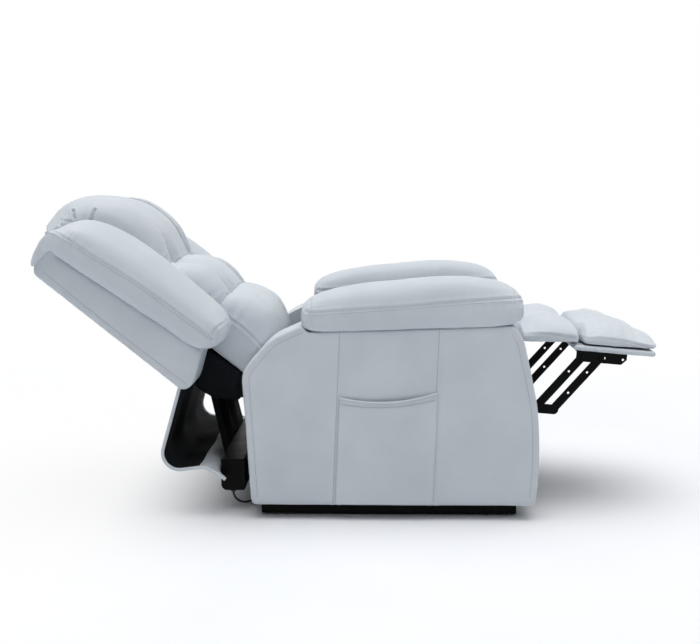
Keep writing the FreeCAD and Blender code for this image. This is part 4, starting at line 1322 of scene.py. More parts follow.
    @staticmethod
    def rest_reach(drawn: Array) -> Array:
        """Let the armrest reach out over both ends of the arm, with a plump crest and a deep foot.

        Args:
            drawn: the armrest's drawn places.

        Returns:
            Where they move to.
        """
        front, rear, crest, foot = 13, 8, 11, 7
        x, z = drawn[:, 0], drawn[:, 2]
        moved = drawn.copy()
        moved[:, 0] += front * rising(x, 250, 130) ** 1.5
        moved[:, 0] -= rear * falling(x, -90, 90) ** 1.5
        moved[:, 2] += crest * rising(z, 570, 50) * rising(x, 60, 170)
        moved[:, 2] -= foot * falling(z, 555, 40)
        return moved

    def inset_edges(self, outline: Array) -> list[Array]:
        """Find the seams that run inside the rear slope and inside the front edge.

        Args:
            outline: the arm's outline.

        Returns:
            The rear line and the front line, from the floor up.
        """
        rear = [p for p in outline if p[0] < self.edge_rear and p[1] > self.edge_low]
        front = [p for p in outline if p[0] > self.edge_front and self.edge_low < p[1] < self.edge_high]
        return [self.moved_in(np.array(sorted(line, key=lambda p: p[1])), outline, self.edge_inset)
                for line in (rear, front)]

    @staticmethod
    def moved_in(line: Array, outline: Array, inset: float) -> Array:
        """Move a line towards the middle of its outline, square to itself.

        Args:
            line: what moves.
            outline: the whole outline.
            inset: how far it moves.

        Returns:
            The moved line.
        """
        along = np.gradient(line, axis=0)
        along /= np.linalg.norm(along, axis=1)[:, None]
        square = np.stack([-along[:, 1], along[:, 0]], axis=1)
        inward = np.sign(((outline.mean(0) - line) * square).sum(1).mean())
        return line + square * inward * inset

    def pocket_grid(self, across: int, down: int) -> Array:
        """Shape the pocket's cloth: held at three edges, swelling and folding towards its open top.

        Args:
            across: points along each row.
            down: rows, from its foot to its top.

        Returns:
            Places by row, column and axis, in metres.
        """
        low_rear, top_rear, dip, top_front, low_front = (np.array(p) for p in self.pocket)
        uneven, uneven_size = 0.7, 45
        rows = np.zeros((down, across, 3))
        for j in range(down):
            v = j / (down - 1)
            for i in range(across):
                u = i / (across - 1)
                sag = 4 * u * (1 - u) * (dip[1] - (top_rear[1] + top_front[1]) / 2) * v ** 3
                left, right = low_rear + (top_rear - low_rear) * v, low_front + (top_front - low_front) * v
                x, z = left + (right - left) * u + (0, sag)
                bow = (math.sin(math.pi * u)) ** 0.8
                swell = self.pocket_swell * bow * (0.25 + 0.75 * v ** 1.4)
                folds = self.pocket_fold * math.sin(9.5 * u + 1.6 * v) * bow * v ** 2 * (1 - 0.6 * v)
                rough = uneven * noise.noise(Vector((x / uneven_size, z / uneven_size, 3))) * bow
                rows[j, i] = self.layout.at(x, self.outer + self.pocket_gap + swell + folds + rough, z)
        return rows

    def pocket_sheet(self) -> tuple[Piece, Array, Piece, Piece]:
        """Make the side pocket.

        Returns:
            The left pocket's cloth, its grid, its rolled hem and the stitches under the hem.
        """
        rows = self.pocket_grid(61, 69)
        obj = grid_sheet(rows, "side_pocket_left")
        top = rows[-1] + (0, 0.6 * MM, 0)
        hem = dress(SEWING.roll(top, "side_pocket_hem_left", self.hem_radius), self.finish.leather)
        stitched = rows[-4] * 0.4 + rows[-5] * 0.6 + (0, 1.5 * MM, 0)
        threads = sew([stitched[1:-1]], "side_pocket_stitching_left", self.finish.thread)
        modify(obj, "SOLIDIFY", thickness=self.pocket_thick * MM, offset=0)
        edit(obj, bpy.ops.mesh.normals_make_consistent, inside=False)
        divided(obj)
        dress(obj, self.finish.leather)
        return obj, rows, hem, threads

    def armrest(self) -> tuple[Piece, Piece]:
        """Make the overstuffed armrest.

        Returns:
            The left armrest and its stitches.
        """
        stuffing = Stuffing(inset=4, cap=8)
        obj = stuffing.plain(self.layout, "armrest_left", "armrest_pad_left", self.rest_reach)
        cast = self.side_caster()
        inward = Caster(lambda x, z: self.layout.at(x, self.rest_inner, z), Vector((0, 1, 0)), 0.05)
        seam = line_through(self.rest_seam)
        sewn = [(cast, seam), (inward, seam)] + [(cast, line_through(end)) for end in self.rest_ends]
        stuffing.filled(obj, [caster.on(obj, line) for caster, line in sewn], lowest(obj, 12))
        lines = [caster.on(obj, line) for caster, line in sewn]
        sculpt = Sculptor(obj)
        for line in lines[:2]:
            sculpt.seam(line, self.rest_sewn, 3)
        for line in lines[2:]:
            sculpt.seam(line, self.end_sewn, 7, line[:len(line) // 2])
        sculpt.slack((1.6, 120, 4), (0.5, 42, 8)).done()
        rows = [cast.on(obj, seam - (0, self.rest_stitch), THREAD_LIFT)]
        dress(obj, self.finish.leather)
        return obj, sew(rows, "armrest_stitching_left", self.finish.thread)


@dataclass
class Seat:
    """The seat cushion. Sizes in millimetres."""

    layout: Layout
    finish: Finishes
    edge: float = 245
    front: float = 388
    rear: float = -116
    border: float = 34
    above: float = 480
    sewn: Seam = Seam(depth=3, width=4, gather=1.2, pitch=30, reach=34)
    stitch: float = 5

    def build(self) -> None:
        """Make the seat cushion with its top seams."""
        stuffing = Stuffing(voxel=7, inset=5, cap=14)
        obj = stuffing.plain(self.layout, "seat_cushion", "seat_pad")
        down = Caster(lambda x, y: self.layout.at(x, y, self.above), Vector((0, 0, -1)), 0.2)
        side, front = self.edge - self.border, self.front - 40
        lines = [line_through([(self.rear + 12, y), (140, y), (self.front - 26, y)]) for y in (-side, side)]
        lines.append(line_through([(front, -side), (front, 0), (front, side)]))
        stuffing.filled(obj, [down.on(obj, line) for line in lines], lowest(obj, 12))
        sculpt = Sculptor(obj)
        for k, line in enumerate(lines):
            sculpt.seam(down.on(obj, line), self.sewn, 11 + k)
        sculpt.slack((2.2, 150, 14), (0.7, 50, 15)).done()
        upholster(obj, self.finish.leather, "carriage", "seat_cushion")
        inwards = ((0, self.stitch), (0, -self.stitch), (-self.stitch, 0))
        rows = [down.on(obj, line + way, THREAD_LIFT) for line, way in zip(lines, inwards)]
        settle(sew(rows, "seat_pad_stitching", self.finish.thread), "carriage", "upholstery")


@dataclass(frozen=True)
class Quilt:
    """The padded face of the back: three rows of three swellings, drawn in at tufts. Sizes in millimetres."""

    half: float = 244
    channel: float = 140
    creases: Pair = (72, 248)
    base: float = 94
    crest: tuple[Pair, ...] = (
        (-142, 176), (-120, 212), (-92, 238), (-39, 262), (19, 261), (72, 247),
        (118, 249), (165, 246), (208, 232), (248, 213), (278, 222), (325, 241),
        (369, 249), (421, 248), (463, 238), (511, 213), (548, 186), (573, 162),
        (592, 134), (612, 92))
    crease_depth: float = 6
    crease_width: float = 12
    channel_depth: float = 5
    channel_width: float = 9
    tuft_depth: float = 36
    tuft_radius: float = 36
    end_round: float = 36
    shell_top: float = 530
    overhang: float = 54
    swell: float = 9
    side_fall: float = 66
    side_width: float = 84

    def tufts(self) -> list[Pair]:
        """Where the cover is pulled in."""
        return [(s, y) for s in self.creases for y in (-self.channel, self.channel)]

    def height(self, s: Array, y: Array) -> Array:
        """Find the cushions' face.

        Args:
            s: how far up the back.
            y: how far to the occupant's left.

        Returns:
            How far out of the back's rear face it lies there.
        """
        crest = line_through(self.crest, 5)
        out = np.interp(s, crest[:, 0], crest[:, 1])
        width = np.where(np.abs(y) < self.channel, 2 * self.channel, self.half - self.channel)
        middle = np.where(np.abs(y) < self.channel, 0, np.sign(y) * (self.half + self.channel) / 2)
        out = out + self.swell * (1 - np.clip(np.abs(y - middle) / (width / 2), 0, 1) ** 2.4)
        out = out - self.channel_depth * np.exp(-((np.abs(y) - self.channel) / self.channel_width) ** 2)
        for crease in self.creases:
            out = out - self.crease_depth * np.exp(-(np.abs(s - crease) / self.crease_width) ** 1.3)
        for at_s, at_y in self.tufts():
            gap = np.hypot((s - at_s) * 0.9, y - at_y)
            out = out - self.tuft_depth * np.exp(-(gap / self.tuft_radius) ** 1.4)
        edge = np.clip((np.abs(y) - self.half + self.side_width) / self.side_width, 0, 1)
        return np.maximum(out - self.side_fall * (1 - np.sqrt(1 - edge ** 2)), self.base + 8)

    def block(self, layout: Layout, span: Pair, name: str) -> Piece:
        """Make one cushion's closed form, from its face down to its base.

        Args:
            layout: the frame.
            span: where it starts and ends up the back.
            name: the piece's name.

        Returns:
            The new object.
        """
        down = np.linspace(span[0], span[1], int((span[1] - span[0]) / 6))
        across = np.linspace(-self.half, self.half, 81)
        s, y = np.meshgrid(down, across, indexing="ij")
        t = self.height(s, y)
        s = s - self.end_round * (np.abs(y) / self.half) ** 2 * rising(s, 470, 128)
        rows = np.array([[layout.back(*place) for place in zip(*row)] for row in zip(s, t, y)])
        obj = grid_sheet(rows, name)
        edit(obj, bpy.ops.mesh.extrude_region_move,
             TRANSFORM_OT_translate={"value": tuple(-0.05 * layout.back_out)})
        places = points_of(obj)
        up, depth = layout.back_plane(places)
        lower = depth < self.height(up, places[:, 1] / MM) - 25
        feet = np.where(up > self.shell_top, self.overhang, self.base)
        places[lower] += ((feet - depth) * MM)[lower, None] * np.array(layout.back_out)
        put_points(obj, places)
        edit(obj, bpy.ops.mesh.normals_make_consistent, inside=False)
        evened(obj, 6, 3)
        divided(obj)
        return obj


@dataclass(frozen=True)
class BackCushion:
    """One cushion of the back. Sizes in millimetres, s up the back and t out of it.

    Args:
        node: the frame's node that it stands for.
        name: the piece's name.
        span: where it starts and ends up the back.
        gusset: s and t of the seam along its sides.
        flare: how much further apart its channels are at their middle and at their top.
        stop: how far below its top the channels end.
        pleats: upper and lower end of each pleat at its corners, in s, t and y.
    """

    node: str
    name: str
    span: Pair
    gusset: tuple[Pair, ...]
    flare: Pair = (1, 1)
    stop: float = 8
    pleats: tuple[tuple[Triple, Triple], ...] = ()


@dataclass
class BackRest:
    """Back cushions, wings, shell and dust cover. Sizes in millimetres, s up the back and t out of it."""

    layout: Layout
    finish: Finishes
    cushions: tuple[BackCushion, ...] = (
        BackCushion("lumbar_cushion", "lumbar_back_cushion", (-132, 75),
                    ((-128, 176), (-28.5, 190), (71, 186))),
        BackCushion("mid_cushion", "mid_back_cushion", (70, 251),
                    ((74, 176), (160.5, 190), (247, 186))),
        BackCushion("head_pillow", "head_back_pillow", (246, 600),
                    ((256, 168), (330, 180), (430, 172), (500, 140), (556, 108)),
                    flare=(1.04, 1.1), stop=26,
                    pleats=(((497, 193, 232), (484, 165, 247)),
                            ((546, 155, 228), (522, 139, 246)),
                            ((561, 111, 240), (546, 102, 247)))))
    channel_sewn: Seam = Seam(depth=2.6, width=3, puff=0.35, gather=1, pitch=27, reach=24)
    channel_stitch: float = 4.5
    gusset_sewn: Seam = Seam(depth=2.6, width=3.2, puff=0.4, gather=1.8, pitch=30, reach=34)
    crease_gather: Seam = Seam(gather=1.5, pitch=46, reach=26)
    pleat_fold: Seam = Seam(depth=6.5, width=3, puff=0.25)
    shell_half: float = 388
    shell_front: tuple[Pair, Pair] = ((30, 113), (498, 70))
    shell_drop: float = 18
    shell_pad: float = 17
    shell_tuck: float = 15
    shell_edge: tuple[Pair, ...] = ((6, 0), (180, -3), (340, -3), (480, 0))
    edge_sewn: Seam = Seam(depth=1.3, width=3.2, puff=0.7)
    edge_stitch: float = 6
    under_wing: tuple[Pair, ...] = ((8, 107), (250, 86), (470, 66))
    under_fold: Seam = Seam(depth=9, width=7, puff=0)
    panel_sewn: Seam = Seam(depth=1.8, width=3.4, puff=0.6)
    wing_seam: tuple[Pair, ...] = (
        (536, 78), (520, 106), (486, 116), (400, 124), (263, 140), (120, 146), (30, 148))
    wing_mitre: tuple[Pair, ...] = ((30, 148), (18, 132), (14, 112))
    wing_end: tuple[Pair, ...] = ((30, 148), (36, 170), (30, 196))
    wing_cap: tuple[Triple, ...] = (
        (506, -4, 4), (517, -4, 8), (533, 27, 40), (540, 66, 60), (536, 100, 30),
        (512, 118, 20), (470, 118, 5), (484, 72, 4), (498, 70, 4))
    cap_faces: Pair = (254, 393)
    lap: float = 15
    swell: float = 18
    wing_out: float = 12
    wing_slip: float = 8
    wing_sewn: Seam = Seam(depth=2.4, width=3, puff=0.5, gather=0.7, pitch=30, reach=24)
    wing_gather: Seam = Seam(gather=2.2, pitch=13, reach=22)
    wing_stitch: float = 5.5
    dust_half: float = 245
    dust_wrap: tuple[Triple, ...] = (
        (40, 13, 0), (40, 80, 0), (-91, 90, 0), (-135, 31, 10), (-70, -7, 30),
        (-6, -18, 6), (-2, 13, 0))
    dust_pull: Seam = Seam(depth=2.6, width=7, puff=0.8)

    def build(self) -> None:
        """Make every piece of the back."""
        quilt = Quilt()
        for plan in self.cushions:
            self.cushion(quilt, plan)
        self.wings()
        self.shell()
        self.dust_cover()

    def face_caster(self) -> Caster:
        """Casts the front view of the back (s, y) on to its cushions from the occupant's side."""
        return Caster(lambda s, y: self.layout.back(s, 200, y), -self.layout.back_out, 0.3)

    def side_caster(self, y: float, way: int) -> Caster:
        """Casts the side view (s, t) from outside the left (way 1) or right (way -1)."""
        return Caster(lambda s, t: self.layout.back(s, t, way * y), Vector((0, -way, 0)), 0.12)

    def cushion(self, quilt: Quilt, plan: BackCushion) -> None:
        """Make one cushion of the quilted back, with its seams, gathers and pleats.

        Args:
            quilt: the padded face.
            plan: the cushion's own sizes.
        """
        low, high = plan.span
        obj = quilt.block(self.layout, plan.span, plan.name)
        face = self.face_caster()
        channels = [line_through([(low + 8, y), ((low + high) / 2, y * plan.flare[0]),
                                  (high - plan.stop, y * plan.flare[1])])
                    for y in (-quilt.channel, quilt.channel)]
        gusset = line_through(plan.gusset)
        sculpt = Sculptor(obj)
        for k, line in enumerate(channels):
            sculpt.seam(face.on(obj, line), self.channel_sewn, 20 + k)
        for at_s, at_y in quilt.tufts():
            if low - 5 <= at_s <= high + 5:
                out = float(quilt.height(np.array([at_s]), np.array([at_y]))[0])
                sculpt.dimple(self.layout.back(at_s, out, at_y), depth=3, radius=14, folds=6, height=3.2)
        for way in BOTH_WAYS:
            sculpt.seam(self.side_caster(quilt.half, way).on(obj, gusset), self.gusset_sewn, 25)
        side = quilt.half - 20
        for s in (low + 10, high - 10):
            crease = face.on(obj, line_through([(s, -side), (s, 0), (s, side)]))
            sculpt.seam(crease, self.crease_gather, 27 + s)
        for way in BOTH_WAYS:
            for top, foot in plan.pleats:
                line = [self.layout.back(s, t, way * y) for s, t, y in np.linspace(top, foot, 14)]
                nearest = [int(np.linalg.norm(sculpt.places - p, axis=1).argmin()) for p in line]
                sculpt.seam(sculpt.places[nearest], self.pleat_fold)
        sculpt.slack((2.2, 120, 30 + low), (0.6, 40, 31)).done()
        upholster(obj, self.finish.leather, "back", plan.node)
        rows = [face.on(obj, line + (0, off), THREAD_LIFT) for line in channels
                for off in (-self.channel_stitch, self.channel_stitch)]
        settle(sew(rows, plan.name + "_stitching", self.finish.thread), "back", "upholstery")

    def wing_form(self) -> Piece:
        """Make the left wing's plain form: the node, joined by a cap that wraps the shell's upper end.

        Returns:
            The form, lapped over the shell and swelling beside it.
        """
        cap = outline_block(rounded(self.wing_cap)[:-1], self.layout.back, self.cap_faces, "wing_cap")
        obj = joined([copy_of(self.layout, "wing_left", "wing_pad_left"), cap], "wing_pad_left")
        evened(obj, 6, 6)
        places = points_of(obj)
        s, t = self.layout.back_plane(places)
        front = np.interp(s, *zip(*self.shell_front))
        outer = rising(places[:, 1] / MM, 340, 36)
        lap = np.clip(1 - (t - front) / 40, 0, 1) * outer * falling(s, 505, 30)
        places -= (self.lap * lap * MM)[:, None] * np.array(self.layout.back_out)
        climb = np.clip((t - self.lap * lap - front + self.lap) / 20, 0, 1)
        over = np.clip(1 - (t - front - 70) / 60, 0.35, 1)
        ends = rising(s, 6, 40) * falling(s, 545, 60, least=0.25)
        places[:, 1] += (self.wing_out + self.swell * np.sqrt(climb * (2 - climb)) * over * ends) * MM * outer
        slip = self.wing_slip * rising(s, 470, 70) * MM
        put_points(obj, places - slip[:, None] * np.array(self.layout.back_up))
        modify(obj, "SMOOTH", factor=0.5, iterations=2)
        return obj

    def wings(self) -> None:
        """Make the side wings: a seam along their outer face, a mitred lower end and gathers at the top."""
        stuffing = Stuffing(inset=0, cap=7)
        obj = self.wing_form()
        cast = self.side_caster(self.shell_half, 1)
        drawn = [line_through(line) for line in (self.wing_seam, self.wing_mitre, self.wing_end)]
        depth = (points_of(obj) - np.array(self.layout.back(30, 115))) @ np.array(self.layout.back_out)
        stuffing.filled(obj, [cast.on(obj, line) for line in drawn], depth < -0.035)
        lines = [cast.on(obj, line) for line in drawn]
        sculpt = Sculptor(obj)
        for k, line in enumerate(lines):
            sculpt.seam(line, self.wing_sewn, 50 + k)
        sculpt.seam(lines[0][:max(3, len(lines[0]) // 4)], self.wing_gather, 54)
        sculpt.slack((1.5, 120, 55), (0.5, 42, 56)).done()
        dress(obj, self.finish.leather)
        row = cast.on(obj, drawn[0] - (0, self.wing_stitch), THREAD_LIFT)
        threads = sew([row], "wing_pad_stitching_left", self.finish.thread)
        for side in Side:
            own = side is Side.LEFT
            pad = obj if own else mirrored(obj, "wing_pad_right")
            sewn = threads if own else mirrored(threads, "wing_pad_stitching_right")
            settle(pad, "back", "upholstery", "wing_" + side.word)
            settle(sewn, "back", "upholstery")

    def shell(self) -> None:
        """Make the back's outer shell, thinly padded, with a seam along its rear edges."""
        stuffing = Stuffing(voxel=5.5, inset=0.8, smooth=3)
        obj = stuffing.plain(self.layout, "back_shell", "outer_back")
        places = points_of(obj)
        s, t = self.layout.back_plane(places)
        along = np.array(self.layout.back(1, 0) - self.layout.back(0, 0))
        rear = np.clip(1 - t / 36, 0, 1) * rising(s, -30, 50, least=0.4)
        drop = (self.shell_drop - 20 * rising(t, 0, 100)) * falling(s, 90, 90)
        drop += self.shell_tuck * rear * rising(s, 430, 70)
        pad = (self.shell_pad * rear * MM)[:, None] * np.array(self.layout.back_out)
        put_points(obj, places - drop[:, None] * along - pad)
        sides = [self.side_caster(self.shell_half, way) for way in BOTH_WAYS]
        behind = Caster(lambda s, y: self.layout.back(s, 0, y), self.layout.back_out, 0.2)
        edge, under = line_through(self.shell_edge), line_through(self.under_wing)
        panel = [line_through([(0, y), (250, y * 1.005), (488, y)]) for y in (-346, 346)]
        panel.append(line_through([(486, -340), (488, 0), (486, 340)]))
        sculpt = Sculptor(obj)
        for side in sides:
            sculpt.seam(side.on(obj, edge), self.edge_sewn).seam(side.on(obj, under), self.under_fold)
        for line in panel:
            sculpt.seam(behind.on(obj, line), self.panel_sewn)
        sculpt.slack((1.3, 190, 60), (0.5, 60, 61)).done()
        upholster(obj, self.finish.leather, "back", "back_shell")
        rows = [side.on(obj, edge + (0, self.edge_stitch), THREAD_LIFT) for side in sides]
        rows += [behind.on(obj, line * 0.985, THREAD_LIFT) for line in panel]
        settle(sew(rows, "outer_back_stitching", self.finish.thread), "back", "upholstery")

    def dust_cover(self) -> None:
        """Make the black cloth round the foot of the back, with diagonal pulls in its sides."""
        ends = (-self.dust_half, self.dust_half)
        obj = outline_block(rounded(self.dust_wrap)[:-1], self.layout.back, ends, "back_dust_cover")
        evened(obj, 6, 4)
        sculpt = Sculptor(obj)
        for y in ends:
            for k in range(5):
                pull = line_through([(34 - 26 * k, 78), (0 - 24 * k, 48 - 3 * k),
                                     (-30 - 20 * k, 4)])
                sculpt.seam(np.array([self.layout.back(s, t, y) for s, t in pull]), self.dust_pull)
        sculpt.slack((1.6, 80, 64), (0.6, 30, 65)).done()
        dress(obj, self.finish.cloth)
        settle(obj, "back", "black_cloth", "dust_cover")


@dataclass
class Footrest:
    """Calf pad, ottoman pad and wrapped board. Sizes in millimetres."""

    layout: Layout
    finish: Finishes
    half: float = 247
    stuffing: Stuffing = Stuffing(voxel=5.5, inset=4, cap=4)
    fill: float = 0.65
    foot_seam: tuple[Pair, ...] = ((20, 20), (80, 24), (150, 20), (214, 9))
    foot_sewn: Seam = Seam(depth=2, width=2.4, puff=0.25)
    ripples: tuple[float, ...] = (66, 104, 138, 170)
    ripple: Seam = Seam(depth=1.1, width=8, puff=0.5)
    front_gather: Seam = Seam(gather=0.8, pitch=44, reach=30)
    calf_seam: tuple[Pair, ...] = ((398, 476), (460, 478), (541, 468))
    calf_sewn: Seam = Seam(depth=2, width=2.4, puff=0.25, gather=0.8, pitch=26, reach=24)
    stitch: float = 2
    board_wrap: tuple[Triple, ...] = (
        (-2, -15, 6), (219, -15, 6), (219, 0, 6), (-2, 0, 6))

    def build(self) -> None:
        """Make both pads and the wrapped board."""
        self.ottoman()
        self.calf()
        self.board()

    def side_casters(self, place: Callable[[float, float, float], Vector]) -> list[Caster]:
        """Casters from the left and the right. place turns a side view's two numbers and a Y to a place."""
        return [Caster(lambda a, b, y=way * self.half: place(a, b, y), Vector((0, -way, 0)), 0.1)
                for way in BOTH_WAYS]

    def stitches(self, obj: Piece, sides: Sequence[Caster], seam: Array, name: str, body: str) -> None:
        """Sew a row of stitches under the seam on each side of a pad."""
        rows = [side.on(obj, seam - (0, self.stitch), THREAD_LIFT) for side in sides]
        settle(sew(rows, name, self.finish.thread), body, "upholstery")

    def ottoman(self) -> None:
        """Make the ottoman's pad: a seam round its side and soft wrinkles across its top."""
        obj = self.stuffing.plain(self.layout, "ottoman_pad", "foot_pad", self.settled)
        sides = self.side_casters(self.layout.foot)
        seam = line_through(self.foot_seam)
        above = Caster(lambda a, y: self.layout.foot(a, 60, y), -self.layout.foot_up, 0.15)
        depth = (points_of(obj) - np.array(self.layout.foot(0, 0))) @ np.array(self.layout.foot_up)
        self.stuffing.filled(obj, [side.on(obj, seam) for side in sides], depth < 0.006)
        sculpt = Sculptor(obj)
        for side in sides:
            sculpt.seam(side.on(obj, seam), self.foot_sewn)
        wide, narrow = self.half - 20, self.half - 30
        for k, a in enumerate(self.ripples):
            across = line_through([(a, -narrow), (a + 9 * math.sin(k), 0), (a + 4, narrow)])
            sculpt.seam(above.on(obj, across), self.ripple)
        front = above.on(obj, line_through([(196, -wide), (198, 0), (196, wide)]))
        sculpt.seam(front, self.front_gather, 72).slack((1.6, 90, 70), (0.6, 36, 71)).done()
        upholster(obj, self.finish.leather, "ottoman", "ottoman_pad")
        self.stitches(obj, sides, seam, "foot_pad_stitching", "ottoman")

    def settled(self, drawn: Array) -> Array:
        """Flatten the ottoman's pad at its rear, and let it reach over the board's front edge.

        Args:
            drawn: the pad's drawn places.

        Returns:
            Where they move to.
        """
        flattened, reach, lip = 0.15, 11, 9
        corners = [self.layout.foot(*p) for p in ((0, 0), (1, 0), (0, 1))]
        rear, far, high = self.layout.drawn(np.array(corners))
        along, up = far - rear, high - rear
        a, b = (drawn - rear) @ along, (drawn - rear) @ up
        rise = -flattened * np.clip(b, 0, None) * falling(a, 200, 140)
        rise = rise + lip * rising(a, 140, 60) * rising(b, 0, 6)
        return drawn + rise[:, None] * up + (reach * rising(a, 90, 110))[:, None] * along

    @staticmethod
    def calf_settled(drawn: Array) -> Array:
        """Flatten the calf pad a little at its rear, and let it reach the ottoman.

        Args:
            drawn: the pad's drawn places.

        Returns:
            Where they move to.
        """
        flattened, reach = 9, 5
        x, z = drawn[:, 0], drawn[:, 2]
        moved = drawn.copy()
        moved[:, 2] -= flattened * rising(z, 470, 40) * falling(x, 520, 60)
        moved[:, 0] += reach * rising(x, 470, 70)
        return moved

    def calf(self) -> None:
        """Make the calf pad between the seat and the ottoman."""
        obj = self.stuffing.plain(self.layout, "calf_pad", "calf_rest_pad", self.calf_settled)
        sides = self.side_casters(self.layout.side)
        seam = line_through(self.calf_seam)
        self.stuffing.filled(obj, [side.on(obj, seam) for side in sides], lowest(obj, 8))
        sculpt = Sculptor(obj)
        for side in sides:
            sculpt.seam(side.on(obj, seam), self.calf_sewn, 75)
        sculpt.slack((1.5, 90, 76), (0.5, 36, 77)).done()
        upholster(obj, self.finish.leather, "calf", "calf_pad")
        self.stitches(obj, sides, seam, "calf_rest_stitching", "calf")

    def board(self) -> None:
        """Make the ottoman's board, wrapped in the cover with a folded edge."""
        outline = rounded(self.board_wrap, 3)[:-1]
        obj = outline_block(outline, self.layout.foot, (-self.half, self.half), "foot_board")
        modify(obj, "BEVEL", width=2 * MM, segments=2, angle_limit=math.radians(50))
        evened(obj, 4, 3)
        Sculptor(obj).slack((0.7, 45, 80)).done()
        dress(obj, self.finish.leather)
        settle(obj, "ottoman", "upholstery", "ottoman_board")


@dataclass(frozen=True)
class Folds:
    """Soft upright folds across a hanging cloth. Sizes in millimetres.

    Args:
        half: half the cloth's width.
        height: how deep the folds are.
        wander: how uneven they are.
        size: how wide that unevenness is.
        seed: which of many such runs.
    """

    half: float
    height: float
    wander: float
    size: float
    seed: float

    def at(self, y: float) -> float:
        """How far the cloth stands out at y. It has three folds."""
        wave = self.height * math.cos(6 * math.pi * y / (2 * self.half) + math.pi / 2)
        return wave + self.wander * noise.noise(Vector((y / self.size, 0, self.seed)))


@dataclass(frozen=True)
class BlackCloth:
    """A black cloth that hangs from the back to the carriage. Sizes in millimetres.

    Args:
        name: the piece's name.
        node: the frame's node that it stands for.
        top: where it hangs from, up the back and out of it.
        bend: X, Z and radius of its bend.
        end: X and Z of its other edge.
        folds: its folds.
        way: along X and Z, how far a fold moves the bend.
        follow: X and Z where it leaves the back and where it meets the carriage.
        rests_on: the node that carries its other edge; not used.
    """

    name: str
    node: str
    top: Pair
    bend: Triple
    end: Pair
    folds: Folds
    way: Pair
    follow: tuple[Pair, Pair]
    rests_on: str


